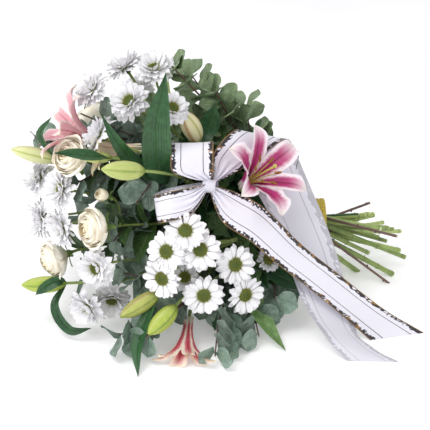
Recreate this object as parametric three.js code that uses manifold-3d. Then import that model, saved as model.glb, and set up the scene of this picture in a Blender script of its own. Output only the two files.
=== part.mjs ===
// A hand-tied funeral bouquet lying on its side, in millimetres, +Z up.
// The cut stems point towards +X and the flower heads fan out towards -X. Every stem passes through one
// narrow waist, where raffia ties the bunch, and swirls round its neighbours there. While the bouquet is
// laid out, x = y = 0 is under the waist and z = 0 is the surface it lies on; the finished group is then
// moved so that its origin is the middle of its bounding box, at the bottom.
import * as THREE from "three";
import { mergeVertices } from "three/addons/utils/BufferGeometryUtils.js";
import Module from "manifold-3d";

const wasm = await Module();
wasm.setup();

// Driving dimensions
const WAIST_HEIGHT = 87; // the waist's centre above the surface
const HEAD_RISE = 0.23; // how fast the bundle's middle climbs towards the flower heads
const TAIL_DROP = 0.16; // how fast it sinks towards the cut ends
const HEAD_SWIRL = 22; // length along the bundle over which the stems open out, on each side of the waist
const TAIL_SWIRL = 36;
const STATIONS = [-230, -180, -138, -98, -64, -38, -18, 0, 20, 45, 90, 160];
const CLEARANCE = 0.35; // between pieces that touch on the real bouquet
const STEM_GAP = 0.45; // between neighbouring stems, measured from stem to stem
const DAISY_RAYS = 12;
const DISC_RADIUS = 9.5;
const HOLE_RADIUS = 10.4;
const RIBBON_THICKNESS = 0.8;
const TIE_X = 17;
const TIE_WIDTH = 11;

const COLOURS = {
  chrysanthemum_green: [0x4f6b34, 0.6],
  white: [0xf4f2f5, 0.55],
  cream: [0xf6ecd2, 0.5],
  lily_green: [0x6f8f3c, 0.45],
  pink: [0xd77ba6, 0.45],
  rose_green: [0x5d7a3a, 0.5],
  eucalyptus: [0x7c9384, 0.6],
  ruscus: [0x2f4f2c, 0.4],
  satin: [0xf1eff4, 0.35],
  raffia: [0xd9c75a, 0.8],
  wire: [0x3e5a36, 0.6],
};

const v = (x, y, z) => new THREE.Vector3(x, y, z);
const at = ([x, y, z]) => v(x, y, z);
const UP = v(0, 0, 1);

let seed = 11;
/** A repeatable draw between low and high. */
function draw(low, high) {
  seed = (Math.imul(seed, 1664525) + 1013904223) >>> 0;
  return low + ((high - low) * seed) / 4294967296;
}

/** The matrix that puts local +Z along a direction, turned about it by spin degrees. */
function facing(position, direction, spin = 0) {
  const z = direction.clone().normalize();
  const hint = Math.abs(z.z) > 0.95 ? v(1, 0, 0) : UP;
  const x = new THREE.Vector3().crossVectors(hint, z).normalize();
  const y = new THREE.Vector3().crossVectors(z, x);
  return new THREE.Matrix4()
    .makeBasis(x, y, z)
    .multiply(new THREE.Matrix4().makeRotationZ(THREE.MathUtils.degToRad(spin)))
    .setPosition(position);
}

/** A manifold solid from points and triangles, turned right side out. */
function solidFrom(points, triangles) {
  const vertProperties = new Float32Array(points.flatMap((p) => [p.x, p.y, p.z]));
  const build = (faces) =>
    new wasm.Manifold(new wasm.Mesh({ numProp: 3, vertProperties, triVerts: new Uint32Array(faces.flat()) }));
  const made = build(triangles);
  return made.volume() < 0 ? build(triangles.map(([a, b, c]) => [a, c, b])) : made;
}

/** A three.js geometry as a manifold solid, placed by a matrix. */
function solidOf(geometry, matrix) {
  const bare = geometry.clone().applyMatrix4(matrix);
  bare.deleteAttribute("normal");
  bare.deleteAttribute("uv");
  const merged = mergeVertices(bare, 1e-4);
  const position = merged.getAttribute("position");
  const points = Array.from({ length: position.count }, (_, i) => v().fromBufferAttribute(position, i));
  const index = Array.from(merged.index.array);
  const triangles = [];
  for (let i = 0; i < index.length; i += 3) triangles.push(index.slice(i, i + 3));
  return solidFrom(points, triangles.filter(([a, b, c]) => a !== b && b !== c && a !== c));
}

/** A closed skin over a row of rings with equally many points, with flat rings split alike on both sides. */
function loft(rings) {
  const n = rings[0].length;
  const triangles = [];
  for (let k = 0; k + 1 < rings.length; k++) {
    for (let j = 0; j < n; j++) {
      const [a, b] = [k * n + j, k * n + ((j + 1) % n)];
      const [c, d] = [a + n, b + n];
      if (j < n / 2) triangles.push([a, b, d], [a, d, c]);
      else triangles.push([a, b, c], [b, d, c]);
    }
  }
  const last = (rings.length - 1) * n;
  for (let j = 1; j + 1 < n; j++) {
    triangles.push([0, j + 1, j]);
    triangles.push([last, last + j, last + j + 1]);
  }
  return solidFrom(rings.flat(), triangles);
}

/** A round stalk along a line of points, with one radius for each point. Its sides start from `hint`. */
function stalk(points, radii, sides, extra = 0, hint = null) {
  let across = hint;
  const end = points.length - 1;
  const rings = points.map((p, i) => {
    const along = points[Math.min(i + 1, end)]
      .clone()
      .sub(points[Math.max(i - 1, 0)])
      .normalize();
    across = (hint || across || (Math.abs(along.z) > 0.8 ? v(0, 1, 0) : UP)).clone();
    across.addScaledVector(along, -across.dot(along)).normalize();
    const other = new THREE.Vector3().crossVectors(along, across);
    const centre = p.clone().addScaledVector(along, i === 0 ? -extra : i === end ? extra : 0);
    return Array.from({ length: sides }, (_, j) => {
      const angle = (2 * Math.PI * j) / sides;
      return centre
        .clone()
        .addScaledVector(across, (radii[i] + extra) * Math.cos(angle))
        .addScaledVector(other, (radii[i] + extra) * Math.sin(angle));
    });
  });
  return loft(rings);
}

/** A thin blade's cross-sections: its face looks to `up`, its edges rise by `cup` times the half width. */
function bladeSections(points, widths, up, { thick = 1, cup = 0.2, keel = false, extra = 0 }) {
  return points.map((p, i) => {
    const along = points[Math.min(i + 1, points.length - 1)]
      .clone()
      .sub(points[Math.max(i - 1, 0)])
      .normalize();
    const side = new THREE.Vector3().crossVectors(along, up).normalize();
    const normal = new THREE.Vector3().crossVectors(side, along);
    const half = widths[i] / 2 + extra;
    const rise = (widths[i] / 2) * cup + (keel ? extra : 0);
    const centre = p.clone().addScaledVector(along, i === points.length - 1 ? extra : 0);
    const left = centre.clone().addScaledVector(side, -half).addScaledVector(normal, rise);
    const right = centre.clone().addScaledVector(side, half).addScaledVector(normal, rise);
    const below = centre.clone().addScaledVector(normal, -thick / 2 - extra);
    if (keel) return [left, right, below];
    return [left, centre.addScaledVector(normal, thick / 2 + extra), right, below];
  });
}

const blade = (points, widths, up, options) => loft(bladeSections(points, widths, up, options));

// The bouquet's pieces: each node holds solids that are joined at the end.
const nodes = new Map();

function openNode(name, finish) {
  if (!nodes.has(name)) nodes.set(name, { finish, items: [] });
  return name;
}

const boxesMeet = (a, b) => [0, 1, 2].every((k) => a.min[k] < b.max[k] && b.min[k] < a.max[k]);

/** Every solid of other nodes that a solid cuts into. */
function crossed(solid, name) {
  const box = solid.boundingBox();
  const found = [];
  for (const [other, { items }] of nodes) {
    if (other === name) continue;
    for (const item of items) {
      const meets = boxesMeet(box, item.box) && solid.intersect(item.solid).volume() > 1e-4;
      if (meets) found.push({ other, item });
    }
  }
  return found;
}

function keep(name, solid, make) {
  nodes.get(name).items.push({ solid, grown: make(CLEARANCE), box: make(CLEARANCE).boundingBox() });
}

/** The largest connected body of a solid. */
function largest(solid) {
  const bodies = solid.decompose();
  return bodies.reduce((best, body) => (body.volume() > best.volume() ? body : best), bodies[0] ?? solid);
}

/** Adds a solid to a node as it is. `make(extra)` builds it, `extra` thicker all round. */
function put(name, make) {
  keep(name, make(0), make);
}

/** Adds a solid, cut back where it would run into other nodes. */
function fit(name, make) {
  const fat = make(CLEARANCE);
  let solid = make(0);
  for (const { item } of crossed(fat, name)) solid = solid.subtract(item.grown).subtract(item.solid);
  keep(name, largest(solid), make);
}

/** Adds the first of several versions of a solid that is clear of every other node, and says which it was. */
function bendClear(name, versions, lowest = 0.2) {
  return versions.findIndex((make) => {
    const fat = make(CLEARANCE);
    if (fat.boundingBox().min[2] < lowest || crossed(fat, name).length) return false;
    keep(name, make(0), make);
    return true;
  });
}

// Stems

const middleAt = (x) => WAIST_HEIGHT - x * (x < 0 ? HEAD_RISE : TAIL_DROP);

/** Where a lone stem would run: straight, leaning round the bundle, and narrowest at the waist. */
function loneRoute(end) {
  const swirl = (x) => (x < 0 ? HEAD_SWIRL : TAIL_SWIRL);
  const spread = (x) => Math.hypot(1, x / swirl(x));
  const turn = (x) => Math.atan(x / swirl(x));
  const [y, z] = [end.y, end.z - middleAt(end.x)];
  return (x) => {
    const scale = spread(x) / spread(end.x);
    const angle = turn(x) - turn(end.x);
    return {
      y: scale * (y * Math.cos(angle) - z * Math.sin(angle)),
      z: scale * (y * Math.sin(angle) + z * Math.cos(angle)),
    };
  };
}

const placed = (p) => ({ y: p.y + p.moved.y, z: p.z + p.moved.z });

/** Where two stems come nearest between two stations, and how near, square to the way they run. */
function nearest(a, b, k) {
  const [a0, a1, b0, b1] = [a.points[k], a.points[k + 1], b.points[k], b.points[k + 1]].map(placed);
  const [dy, dz] = [b0.y - a0.y, b0.z - a0.z];
  const [ey, ez] = [b1.y - a1.y - dy, b1.z - a1.z - dz];
  const share = THREE.MathUtils.clamp(-(dy * ey + dz * ez) / (ey * ey + ez * ez || 1), 0, 1);
  const [y, z] = [dy + ey * share, dz + ez * share];
  const run = 2 * (STATIONS[k + 1] - STATIONS[k]);
  const [sy, sz] = [(a1.y - a0.y + b1.y - b0.y) / run, (a1.z - a0.z + b1.z - b0.z) / run];
  const along = (y * sy + z * sz) / Math.hypot(1, sy, sz);
  return { y, z, share, square: Math.sqrt(Math.max(0.04, y * y + z * z - along * along)) };
}

/** Packs the stems side by side: the tie draws them together, and where two would cross they push apart. */
function packStems(stems) {
  for (const stem of stems) {
    const lone = loneRoute(stem.end);
    stem.points = STATIONS.map((x) => {
      const runs = x > stem.end.x + 24 && x <= stem.cut;
      return runs ? { x, ...lone(x), moved: { y: 0, z: 0 } } : null;
    });
  }
  const rounds = 400;
  const shift = (p, y, z) => Object.assign(p.moved, { y: p.moved.y + y, z: p.moved.z + z });
  for (let round = 0; round < rounds; round++) {
    STATIONS.forEach((x, k) => {
      const tied = Math.abs(x) <= 20 && round < rounds - 180;
      for (const { points } of tied ? stems : []) {
        if (points[k]) shift(points[k], -0.02 * placed(points[k]).y, -0.02 * placed(points[k]).z);
      }
      const here = stems.filter((stem) => stem.points[k] && stem.points[k + 1]);
      here.forEach((a, i) => {
        here.slice(i + 1).forEach((b) => {
          const { y, z, share, square } = nearest(a, b, k);
          const lack = a.radius + b.radius + STEM_GAP - square;
          if (lack <= 0) return;
          const push = Math.min((0.5 * lack) / square, 1.5 / Math.hypot(y, z));
          for (const [end, weight] of [[k, 1 - share], [k + 1, share]]) {
            shift(a.points[end], -y * push * weight, -z * push * weight);
            shift(b.points[end], y * push * weight, z * push * weight);
          }
        });
      });
    });
    if (round > rounds - 60) continue;
    for (const { points } of stems) {
      const smooth = points.map((p, k) => {
        const [before, after] = [points[k - 1] ?? p, points[k + 1] ?? p];
        return p && { y: (before.moved.y + after.moved.y) / 2, z: (before.moved.z + after.moved.z) / 2 };
      });
      points.forEach((p, k) => {
        if (p) shift(p, 0.2 * (smooth[k].y - p.moved.y), 0.2 * (smooth[k].z - p.moved.z));
      });
    }
  }
  for (const stem of stems) {
    const packed = stem.points.filter(Boolean).map((p) => v(p.x, placed(p).y, middleAt(p.x) + placed(p).z));
    const tail = packed[packed.length - 1];
    const before = packed[packed.length - 2];
    const reach = (stem.cut - tail.x) / (tail.x - before.x);
    if (reach > 0.02) packed.push(tail.clone().addScaledVector(tail.clone().sub(before), reach));
    stem.line = packed.reverse();
  }
}

const SHIFTS = [[0, 0, 0]];
for (const far of [6, 11, 17]) {
  for (const [y, z] of [[1, 0], [-1, 0], [0, 1], [0, -1], [1, 1], [-1, -1], [1, -1], [-1, 1]]) {
    SHIFTS.push([0, far * y, far * z]);
  }
}

/** The broken line through some points, as a curve. */
function pathThrough(points) {
  const path = new THREE.CurvePath();
  points.slice(1).forEach((p, i) => path.add(new THREE.LineCurve3(points[i], p)));
  return path;
}

/** Lays a stem out to its upper end, which is shifted a little where another stem is in the way. */
function putStem(name, stem) {
  const ends = SHIFTS.map((shift) => stem.end.clone().add(at(shift)));
  const versions = ends.map((end) => (extra) => {
    const points = [...stem.line, end];
    const taper = (x) => (x > -40 ? 1 : Math.max(0.6, 1 + (x + 40) / 400));
    return stalk(points, points.map((p) => stem.radius * taper(p.x)), 5, extra);
  });
  const chosen = bendClear(name, versions, -120);
  if (chosen < 0) fit(name, versions[0]);
  stem.end = ends[Math.max(0, chosen)];
  stem.curve = pathThrough([...stem.line, stem.end]);
}

/** The way of a side shoot from a fork to the back of a bloom, arriving along the bloom's axis. */
function shootCurve(fork, end, face, share, aside) {
  const bend = end.clone().addScaledVector(face, -share * end.distanceTo(fork)).add(aside);
  return new THREE.QuadraticBezierCurve3(fork, bend, end);
}

/** A side shoot that ends in a cup, knob or disc, whose `profile` lists radius and height on its axis. */
function putShoot(name, fork, matrix, { radius, sides, profile }) {
  const place = v(0, 0, 0).setFromMatrixPosition(matrix);
  const face = v(0, 0, 1).transformDirection(matrix);
  const hint = v(1, 0, 0).transformDirection(matrix);
  const top = profile.map(([, height]) => place.clone().addScaledVector(face, height));
  const versions = [0.45, 0.25, 0.65].flatMap((share) =>
    SHIFTS.map(([, y, z]) => (extra) => {
      const line = shootCurve(fork, top[0], face, share, v(y, y, z)).getPoints(3).slice(0, -1);
      const radii = [...line.map(() => radius), ...profile.map(([r]) => r)];
      return stalk([...line, ...top], radii, sides, extra, hint);
    }),
  );
  if (bendClear(name, versions, -120) < 0) fit(name, versions[0]);
}

// Daisy chrysanthemums: white rays in a ring round a green disc

/** One bloom's ring of rays, as one skin. The rays spring from a ring with a six-sided hole. */
function daisyRays(matrix, size, lifts, extra) {
  const [hole, root, wide] = [HOLE_RADIUS - extra, 12.6, 0.8 * size];
  const [points, triangles] = [[], []];
  const quad = (a, b, c, d) => triangles.push([a, b, c], [a, c, d]);
  const round = (r, angle, z) => v(r * Math.cos(angle), r * Math.sin(angle), z);
  const add = (r, angle, z) => points.push(round(r, angle, z).applyMatrix4(matrix)) - 1;
  const pitch = (2 * Math.PI) / DAISY_RAYS;
  const ring = (r, z, step) =>
    Array.from({ length: DAISY_RAYS / step }, (_, i) => add(r, i * step * pitch, z));
  const [top, base] = [ring(root, 0.5 + extra, 1), ring(root, -0.7 - extra, 1)];
  const [holeTop, holeBase] = [ring(hole, 0.5 + extra, 2), ring(hole, -0.7 - extra, 2)];
  for (let i = 0; i < DAISY_RAYS; i++) {
    const next = (i + 1) % DAISY_RAYS;
    const [lift, reach] = lifts[i];
    const angle = (i + 0.5) * pitch;
    const half = (4.7 + extra) / wide;
    const left = add(wide, angle - half, 1.2 + lift * 0.7 + extra);
    const right = add(wide, angle + half, 1.2 + lift * 0.7 + extra);
    const middle = add(wide, angle, -0.1 + lift * 0.7 - extra);
    const tip = add(size * reach + extra, angle, 0.6 + lift);
    quad(top[i], left, right, top[next]);
    quad(left, top[i], base[i], middle);
    quad(top[next], right, middle, base[next]);
    triangles.push([middle, base[i], base[next]]);
    triangles.push([left, tip, right], [left, middle, tip], [right, tip, middle]);
  }
  for (let j = 0; j < DAISY_RAYS / 2; j++) {
    const [h0, h1, g0, g1] = [holeTop, holeBase].flatMap((h) => [h[j], h[(j + 1) % h.length]]);
    const [t0, t1, t2] = [0, 1, 2].map((k) => top[(2 * j + k) % DAISY_RAYS]);
    const [b0, b1, b2] = [0, 1, 2].map((k) => base[(2 * j + k) % DAISY_RAYS]);
    triangles.push([t0, t1, h0], [t1, h1, h0], [t1, t2, h1], [b1, b0, g0], [b1, g0, g1], [b2, b1, g1]);
    quad(h0, h1, g1, g0);
  }
  return solidFrom(points, triangles);
}

/** The green cup under a bloom and the disc that stands up through its ring of rays. */
const daisyHeart = (size) => ({
  radius: 1.5,
  sides: 6,
  profile: [[1.7, -9], [DISC_RADIUS, -1.5], [DISC_RADIUS - 0.4, 1.6], [5.6, 3.4]],
});

/** A lobed leaf cut from one outline, 0.9 mm thick. */
function lobedLeaf(matrix, length, extra) {
  const outline = [[0, 1], [0.28, 2.5], [0.34, 9], [0.52, 5], [0.64, 11], [0.84, 6], [1, 1]];
  const shape = new THREE.Shape();
  shape.moveTo(0, -outline[0][1]);
  for (const [s, w] of outline) shape.lineTo(s * length + 0.4 * extra, -w - extra);
  for (const [s, w] of outline.toReversed()) shape.lineTo(s * length + 0.4 * extra, w + extra);
  shape.closePath();
  const depth = 0.9 + 2 * extra;
  const flat = new THREE.ExtrudeGeometry(shape, { depth, bevelEnabled: false, steps: 1 });
  flat.translate(0, 0, -depth / 2);
  return solidOf(flat, matrix);
}

// Roses

/** A rose: a closed bud wrapped in petals that open and roll outwards. */
function rose(matrix, size, extra) {
  const place = (r, angle, z) =>
    v(r * size * Math.cos(angle), r * size * Math.sin(angle), z * size).applyMatrix4(matrix);
  const core = loft(
    [[0.16, -0.95], [0.52, -0.45], [0.5, 0.18], [0.28, 0.42]].map(([r, z]) =>
      Array.from({ length: 7 }, (_, j) => place(r + extra / size, (2 * Math.PI * j) / 7, z)),
    ),
  );
  const layers = [
    { count: 3, start: 0.24, span: 1.25, rise: [[0.16, -0.78], [0.58, -0.3], [0.56, 0.25], [0.48, 0.52]] },
    { count: 5, start: 1.2, span: 1, rise: [[0.18, -0.82], [0.8, -0.42], [0.92, 0.05], [1.04, 0.2]] },
  ];
  const thick = 0.045 + extra / size;
  const petals = layers.slice(0, size > 20 ? 2 : 1).flatMap(({ count, start, span, rise }) =>
    Array.from({ length: count }, (_, i) => {
      const angle = start + (2 * Math.PI * i) / count;
      return loft(
        rise.map(([r, z], k) => {
          const half = (span / 2) * [0.5, 0.95, 1, 0.62][k];
          const drop = k === 3 ? 0.12 : 0;
          return [
            place(r * 0.97, angle - half, z - drop),
            place(r + thick, angle, z),
            place(r * 0.97, angle + half, z - drop),
            place(r - thick, angle, z),
          ];
        }),
      );
    }),
  );
  return petals.reduce((whole, petal) => whole.add(petal), core);
}

// Lilies

const LILY_PATH = [[6.5, -19], [17, 4], [44, 33], [66, 42], [80, 37]];
const LILY_WIDTHS = [5, 14, 32, 24, 2.5];

/** One open lily as one skin: six tepals round a throat ring, which its own stalk passes through. */
function lilyFlower(matrix, { size, open = 1, wide = 1, spin = 0, squash = 1 }, extra) {
  const [points, triangles] = [[], []];
  const quad = (a, b, c, d) => triangles.push([a, b, c], [a, c, d]);
  const ring = (r, z) =>
    Array.from({ length: 6 }, (_, i) => {
      const angle = THREE.MathUtils.degToRad(60 * i - 30 + spin);
      return points.push(v(r * Math.cos(angle), r * Math.sin(angle), z).applyMatrix4(matrix)) - 1;
    });
  const [top, base] = [ring(7.4 + extra, -17 + extra), ring(6.4 + extra, -23 - extra)];
  const [holeTop, holeBase] = [ring(3.8 - extra, -17 + extra), ring(3.8 - extra, -23 - extra)];
  const axis = v(0, 0, 1).transformDirection(matrix);
  for (let i = 0; i < 6; i++) {
    const next = (i + 1) % 6;
    const outer = i % 2;
    const angle = THREE.MathUtils.degToRad(60 * i + spin);
    const line = LILY_PATH.map(([r, h], k) => {
      const out = k === 0 ? r : Math.max(7.5, r * size * (k > 2 ? 0.35 + 0.65 * open : open));
      const high = k === 0 ? h : h * size + (1 - open) * r * size * 0.75 - 2 * outer;
      return v(out * Math.cos(angle), out * Math.sin(angle) * (k ? squash : 1), high).applyMatrix4(matrix);
    });
    const inward = v(-Math.cos(angle), -Math.sin(angle), 0).transformDirection(matrix);
    const widths = LILY_WIDTHS.map((w) => w * size * wide * (outer ? 0.8 : 1) * (0.55 + 0.45 * open));
    const up = inward.addScaledVector(axis, 0.8);
    const sections = bladeSections(line, widths, up, { thick: 1.4, cup: 0.28, extra }).slice(1, -1);
    const [first, ...rest] = sections.map((section) => section.map((p) => points.push(p) - 1));
    const [l, t, r, m] = first;
    triangles.push([top[i], r, t], [top[i], t, top[next]], [top[next], t, l], [r, top[i], base[i]]);
    triangles.push([base[i], m, r], [base[i], base[next], m]);
    triangles.push([base[next], l, m], [top[next], l, base[next]]);
    let [left, ridge, right, below] = first;
    for (const [l2, t2, r2, m2] of rest) {
      quad(t2, l2, left, ridge);
      quad(left, l2, m2, below);
      quad(r2, t2, ridge, right);
      quad(below, m2, r2, right);
      [left, ridge, right, below] = [l2, t2, r2, m2];
    }
    const beyond = line[4].clone().sub(line[3]).setLength(extra);
    const tip = points.push(line[4].clone().add(beyond)) - 1;
    triangles.push([right, tip, ridge], [ridge, tip, left], [left, tip, below], [below, tip, right]);
    quad(top[i], top[next], holeTop[next], holeTop[i]);
    quad(base[next], base[i], holeBase[i], holeBase[next]);
    quad(holeTop[i], holeTop[next], holeBase[next], holeBase[i]);
  }
  return solidFrom(points, triangles);
}

/** The stamens and the pistil of an open lily, standing on the stalk's end in its throat. */
function lilyStamens(matrix, size, extra) {
  const local = (r, angle, z) => v(r * Math.cos(angle), r * Math.sin(angle), z).applyMatrix4(matrix);
  let whole = stalk([local(0, 0, -16), local(4, 0, 56 * size)], [1.7, 1.3], 3, extra);
  for (let i = 0; i < 6; i++) {
    const angle = (Math.PI * (i + 0.5)) / 3;
    const [inner, outer] = [local(17 * size, angle, 38 * size), local(24 * size, angle, 46 * size)];
    const filament = [local(0.6, angle, -16), local(21 * size, angle, 42 * size)];
    whole = whole.add(stalk(filament, [1.1, 0.7], 3, extra));
    whole = whole.add(stalk([inner, inner.clone().lerp(outer, 0.5), outer], [0.6, 1.7, 0.6], 3, extra));
  }
  return whole;
}

/** A closed lily bud from base to tip, with the furrows between its tepals. */
function lilyBud(base, tip, radius, extra) {
  const axis = tip.clone().sub(base);
  const matrix = facing(base, axis, 15);
  const length = axis.length();
  return loft(
    [[0, 0.28], [0.12, 0.62], [0.4, 0.98], [0.66, 0.9], [0.9, 0.42], [1, 0.1]].map(([s, r]) =>
      Array.from({ length: 6 }, (_, j) => {
        const ridge = radius * r * (j % 2 ? 1 : 0.82) + extra;
        const angle = (Math.PI * j) / 3;
        return v(ridge * Math.cos(angle), ridge * Math.sin(angle), s * length).applyMatrix4(matrix);
      }),
    ),
  );
}

// Leaves

/** A leaf's centre line from its root: `droop` bends it away from `up` towards the tip. */
function leafLine(root, direction, up, length, droop, stops) {
  return stops.map((s) =>
    root
      .clone()
      .addScaledVector(direction, length * s * (1 - 0.25 * Math.abs(droop) * s))
      .addScaledVector(up, -length * droop * s * s),
  );
}

/** The ways a leaf may be turned on its stem to miss its neighbours, nearest to the first choice first. */
function turns(direction, up, stemward) {
  const found = [];
  for (const roll of [0, 25, -25, 50, -50, 80, -80, 120, -120, 160]) {
    for (const lean of [0, 0.35, -0.3]) {
      const turn = new THREE.Matrix4().makeRotationAxis(stemward, THREE.MathUtils.degToRad(roll));
      const way = direction.clone().addScaledVector(stemward, lean).normalize().transformDirection(turn);
      const face = up.clone().transformDirection(turn);
      face.addScaledVector(way, -face.dot(way)).normalize();
      found.push([way, face]);
    }
  }
  return found;
}

function putLeaf(name, root, direction, up, stemward, shape) {
  const { length, width, stops, profile, droop = 0.2, thick = 0.9, cup = 0.2, keel = false } = shape;
  const versions = turns(direction, up, stemward).flatMap(([way, face]) =>
    [1, 0.8].map((share) => (extra) => {
      const points = leafLine(root, way, face, length * share, droop, stops);
      const widths = profile.map((w) => Math.max(1.4, w * width * share));
      return blade(points, widths, face, { thick, cup, keel, extra });
    }),
  );
  return bendClear(name, versions);
}

const ROUND_LEAF = { stops: [0, 0.16, 0.6, 1], profile: [0.05, 0.3, 1, 0.3], keel: true };
const LONG_LEAF = { stops: [0, 0.38, 0.74, 1], profile: [0.2, 1, 0.62, 0.04], keel: true };
const OVAL_LEAF = { stops: [0, 0.45, 0.8, 1], profile: [0.08, 1, 0.62, 0.04], keel: true };

/** A large leaf along planned points, moved aside a little where something is in the way. */
function putPlannedLeaf({ on: name, from, bud, line: shown, width, up }) {
  const start = from ? stems[name].curve.getPoint(from) : at(LILIES[name.slice(5)].buds[bud].base);
  const line = [start.toArray(), ...shown];
  const versions = SHIFTS.flatMap(([, y, z]) => [v(0, y, z), v(y, z, 0)]).map((shift) => (extra) => {
    const moved = line.map((p, i) => at(p).addScaledVector(shift, i / (line.length - 1)));
    const points = new THREE.CatmullRomCurve3(moved, false, "centripetal").getPoints(4);
    const widths = [0.16, 0.72, 1, 0.74, 0.05].map((w) => Math.max(1.6, w * width));
    return blade(points, widths, at(up).normalize(), { thick: 1.2, cup: 0.22, extra });
  });
  bendClear(name, versions, -3);
}

/** Leaves along a stem's last stretch, `pair` of them at each step, which turns `turn` degrees further. */
function putFoliage(name, curve, { from, to, steps, pair, turn, lean, shape }) {
  for (let i = 0; i < steps; i++) {
    const s = from + ((to - from) * i) / Math.max(1, steps - 1);
    const root = curve.getPoint(s);
    const along = curve.getTangent(s);
    const side = new THREE.Vector3().crossVectors(along, UP).normalize();
    for (let j = 0; j < pair; j++) {
      const angle = THREE.MathUtils.degToRad(turn * i + (360 / pair) * j + draw(-12, 12));
      const out = side.clone().applyAxisAngle(along, angle);
      const direction = out.clone().addScaledVector(along, lean).normalize();
      const up = along.clone().addScaledVector(direction, -along.dot(direction)).normalize();
      const grow = draw(0.85, 1.15) * (s > 0.9 ? 0.8 : 1);
      const [length, width] = [shape.length * grow, shape.width * grow];
      putLeaf(name, root, direction, up, along, { ...shape, length, width });
    }
  }
}

/** Lobed leaves along the upper part of a chrysanthemum's stem. */
function putLobedLeaves(name, curve, count) {
  for (let i = 0; i < count; i++) {
    const s = 0.7 + (0.2 * i) / count;
    const [root, along] = [curve.getPoint(s), curve.getTangent(s)];
    const out = new THREE.Vector3().crossVectors(along, UP).normalize().applyAxisAngle(along, 2.4 * i + 0.6);
    const direction = out.addScaledVector(along, 0.7).normalize();
    const up = along.clone().addScaledVector(direction, -along.dot(direction)).normalize();
    const versions = turns(direction, up, along).map(([way, face]) => (extra) => {
      const side = new THREE.Vector3().crossVectors(face, way);
      return lobedLeaf(new THREE.Matrix4().makeBasis(way, side, face).setPosition(root), 52, extra);
    });
    bendClear(name, versions);
  }
}

// The plan: where each bloom sits (its centre), the way it faces and its radius

const SPRAYS = {
  front: {
    cut: 146,
    blooms: [
      [[-146, -160, 143], [0.1, -0.8, 0.55], 28],
      [[-187, -162, 142], [-0.35, -0.8, 0.45], 28],
      [[-164, -152, 165], [0, -0.6, 0.8], 28],
      [[-193, -170, 108], [-0.45, -0.85, 0.12], 28],
    ],
  },
  low: {
    cut: 122,
    lobed: 2,
    blooms: [
      [[-142, -167, 81], [0.03, -0.95, 0.22], 28],
      [[-103, -142, 110], [0.3, -0.85, 0.4], 28],
      [[-90, -150, 70], [0.45, -0.85, 0.15], 28],
      [[-166, -146, 94], [-0.1, -0.85, 0.5], 20],
      [[-60, -110, 97], [0.45, -0.6, 0.65], 18],
    ],
  },
  crown: {
    cut: 118,
    blooms: [
      [[-319, -102, 196], [-0.75, -0.5, 0.4], 28],
      [[-352, -78, 140], [-0.85, -0.4, 0.05], 28],
      [[-358, -34, 178], [-0.8, -0.3, 0.5], 28],
      [[-320, -112, 146], [-0.75, -0.6, -0.1], 28],
    ],
  },
  foot: {
    cut: 92,
    blooms: [
      [[-276, -150, 110], [-0.5, -0.8, 0.2], 28],
      [[-291, -148, 50], [-0.55, -0.75, -0.2], 28],
      [[-262, -128, 48], [0, -0.95, -0.15], 28],
    ],
  },
  top: {
    cut: 88,
    blooms: [
      [[-233, -64, 298], [-0.35, -0.6, 0.7], 28],
      [[-205, -8, 318], [-0.05, -0.3, 0.95], 28],
      [[-243, 14, 312], [-0.45, 0.05, 0.88], 28],
      [[-180, -77, 294], [0.3, -0.55, 0.75], 24],
      [[-284, -18, 293], [-0.6, -0.3, 0.7], 28],
      [[-268, -90, 264], [-0.75, 0.1, 0.35], 28],
    ],
  },
  far: {
    cut: 132,
    blooms: [
      [[-196, 118, 262], [-0.1, 0.6, 0.75], 28],
      [[-238, 136, 228], [-0.4, 0.75, 0.45], 28],
      [[-205, 168, 160], [-0.2, 0.95, 0.1], 28],
      [[-330, 52, 186], [-0.85, 0.35, 0.35], 28],
    ],
  },
};

const ROSES = {
  left: { cut: 104, blooms: [[[-308, -95, 238], [-0.5, -0.6, 0.6], 25]] },
  middle: {
    cut: 128,
    blooms: [
      [[-281, -138, 160], [-0.72, -0.62, 0.25], 25],
      [[-268, -118, 197], [-0.5, -0.6, 0.5], 13],
    ],
  },
  low: { cut: 84, blooms: [[[-340, -104, 92], [-0.75, -0.55, -0.05], 25]] },
  far: { cut: 110, blooms: [[[-306, 92, 206], [-0.65, 0.6, 0.4], 25, 50]] },
};

const LILIES = {
  bow: {
    cut: 150,
    flowers: [
      {
        at: [-84, -93, 203],
        face: [0.55, -0.5, 0.66],
        size: 0.84,
        open: 0.84,
        wide: 1.16,
        spin: 12,
        shows: true,
      },
    ],
    buds: [],
  },
  left: {
    cut: 136,
    flowers: [
      { at: [-296, -58, 252], face: [-0.75, -0.05, 0.5], size: 0.72, open: 0.9, spin: 10 },
      { at: [-238, -84, 243], face: [-0.88, -0.3, 0.1], size: 0.62, open: 0.5, spin: 40 },
    ],
    buds: [
      { base: [-214, -124, 233], tip: [-262, -146, 247], radius: 13 },
      { base: [-254, -108, 243], tip: [-292, -118, 250], radius: 8 },
      { base: [-330, -52, 212], tip: [-386, -58, 230], radius: 11 },
    ],
  },
  low: {
    cut: 100,
    flowers: [
      { at: [-163, -158, 24.4], face: [-0.08, -0.96, -0.22], size: 0.8, open: 0.5, spin: 15, squash: 0.3 },
    ],
    buds: [
      { base: [-198, -152, 76], tip: [-247, -176, 54], radius: 12 },
      { base: [-177, -168, 66], tip: [-211, -196, 42], radius: 13 },
      { base: [-322, -112, 62], tip: [-378, -122, 66], radius: 12 },
    ],
  },
  top: {
    cut: 126,
    flowers: [],
    buds: [{ base: [-149, -50, 237], tip: [-169, -64, 285], radius: 14 }],
  },
  far: {
    cut: 96,
    flowers: [{ at: [-130, 114, 100], face: [0.2, 0.95, 0.15], size: 0.85, spin: 20 }],
    buds: [{ base: [-196, 136, 108], tip: [-240, 172, 96], radius: 12 }],
  },
};

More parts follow.
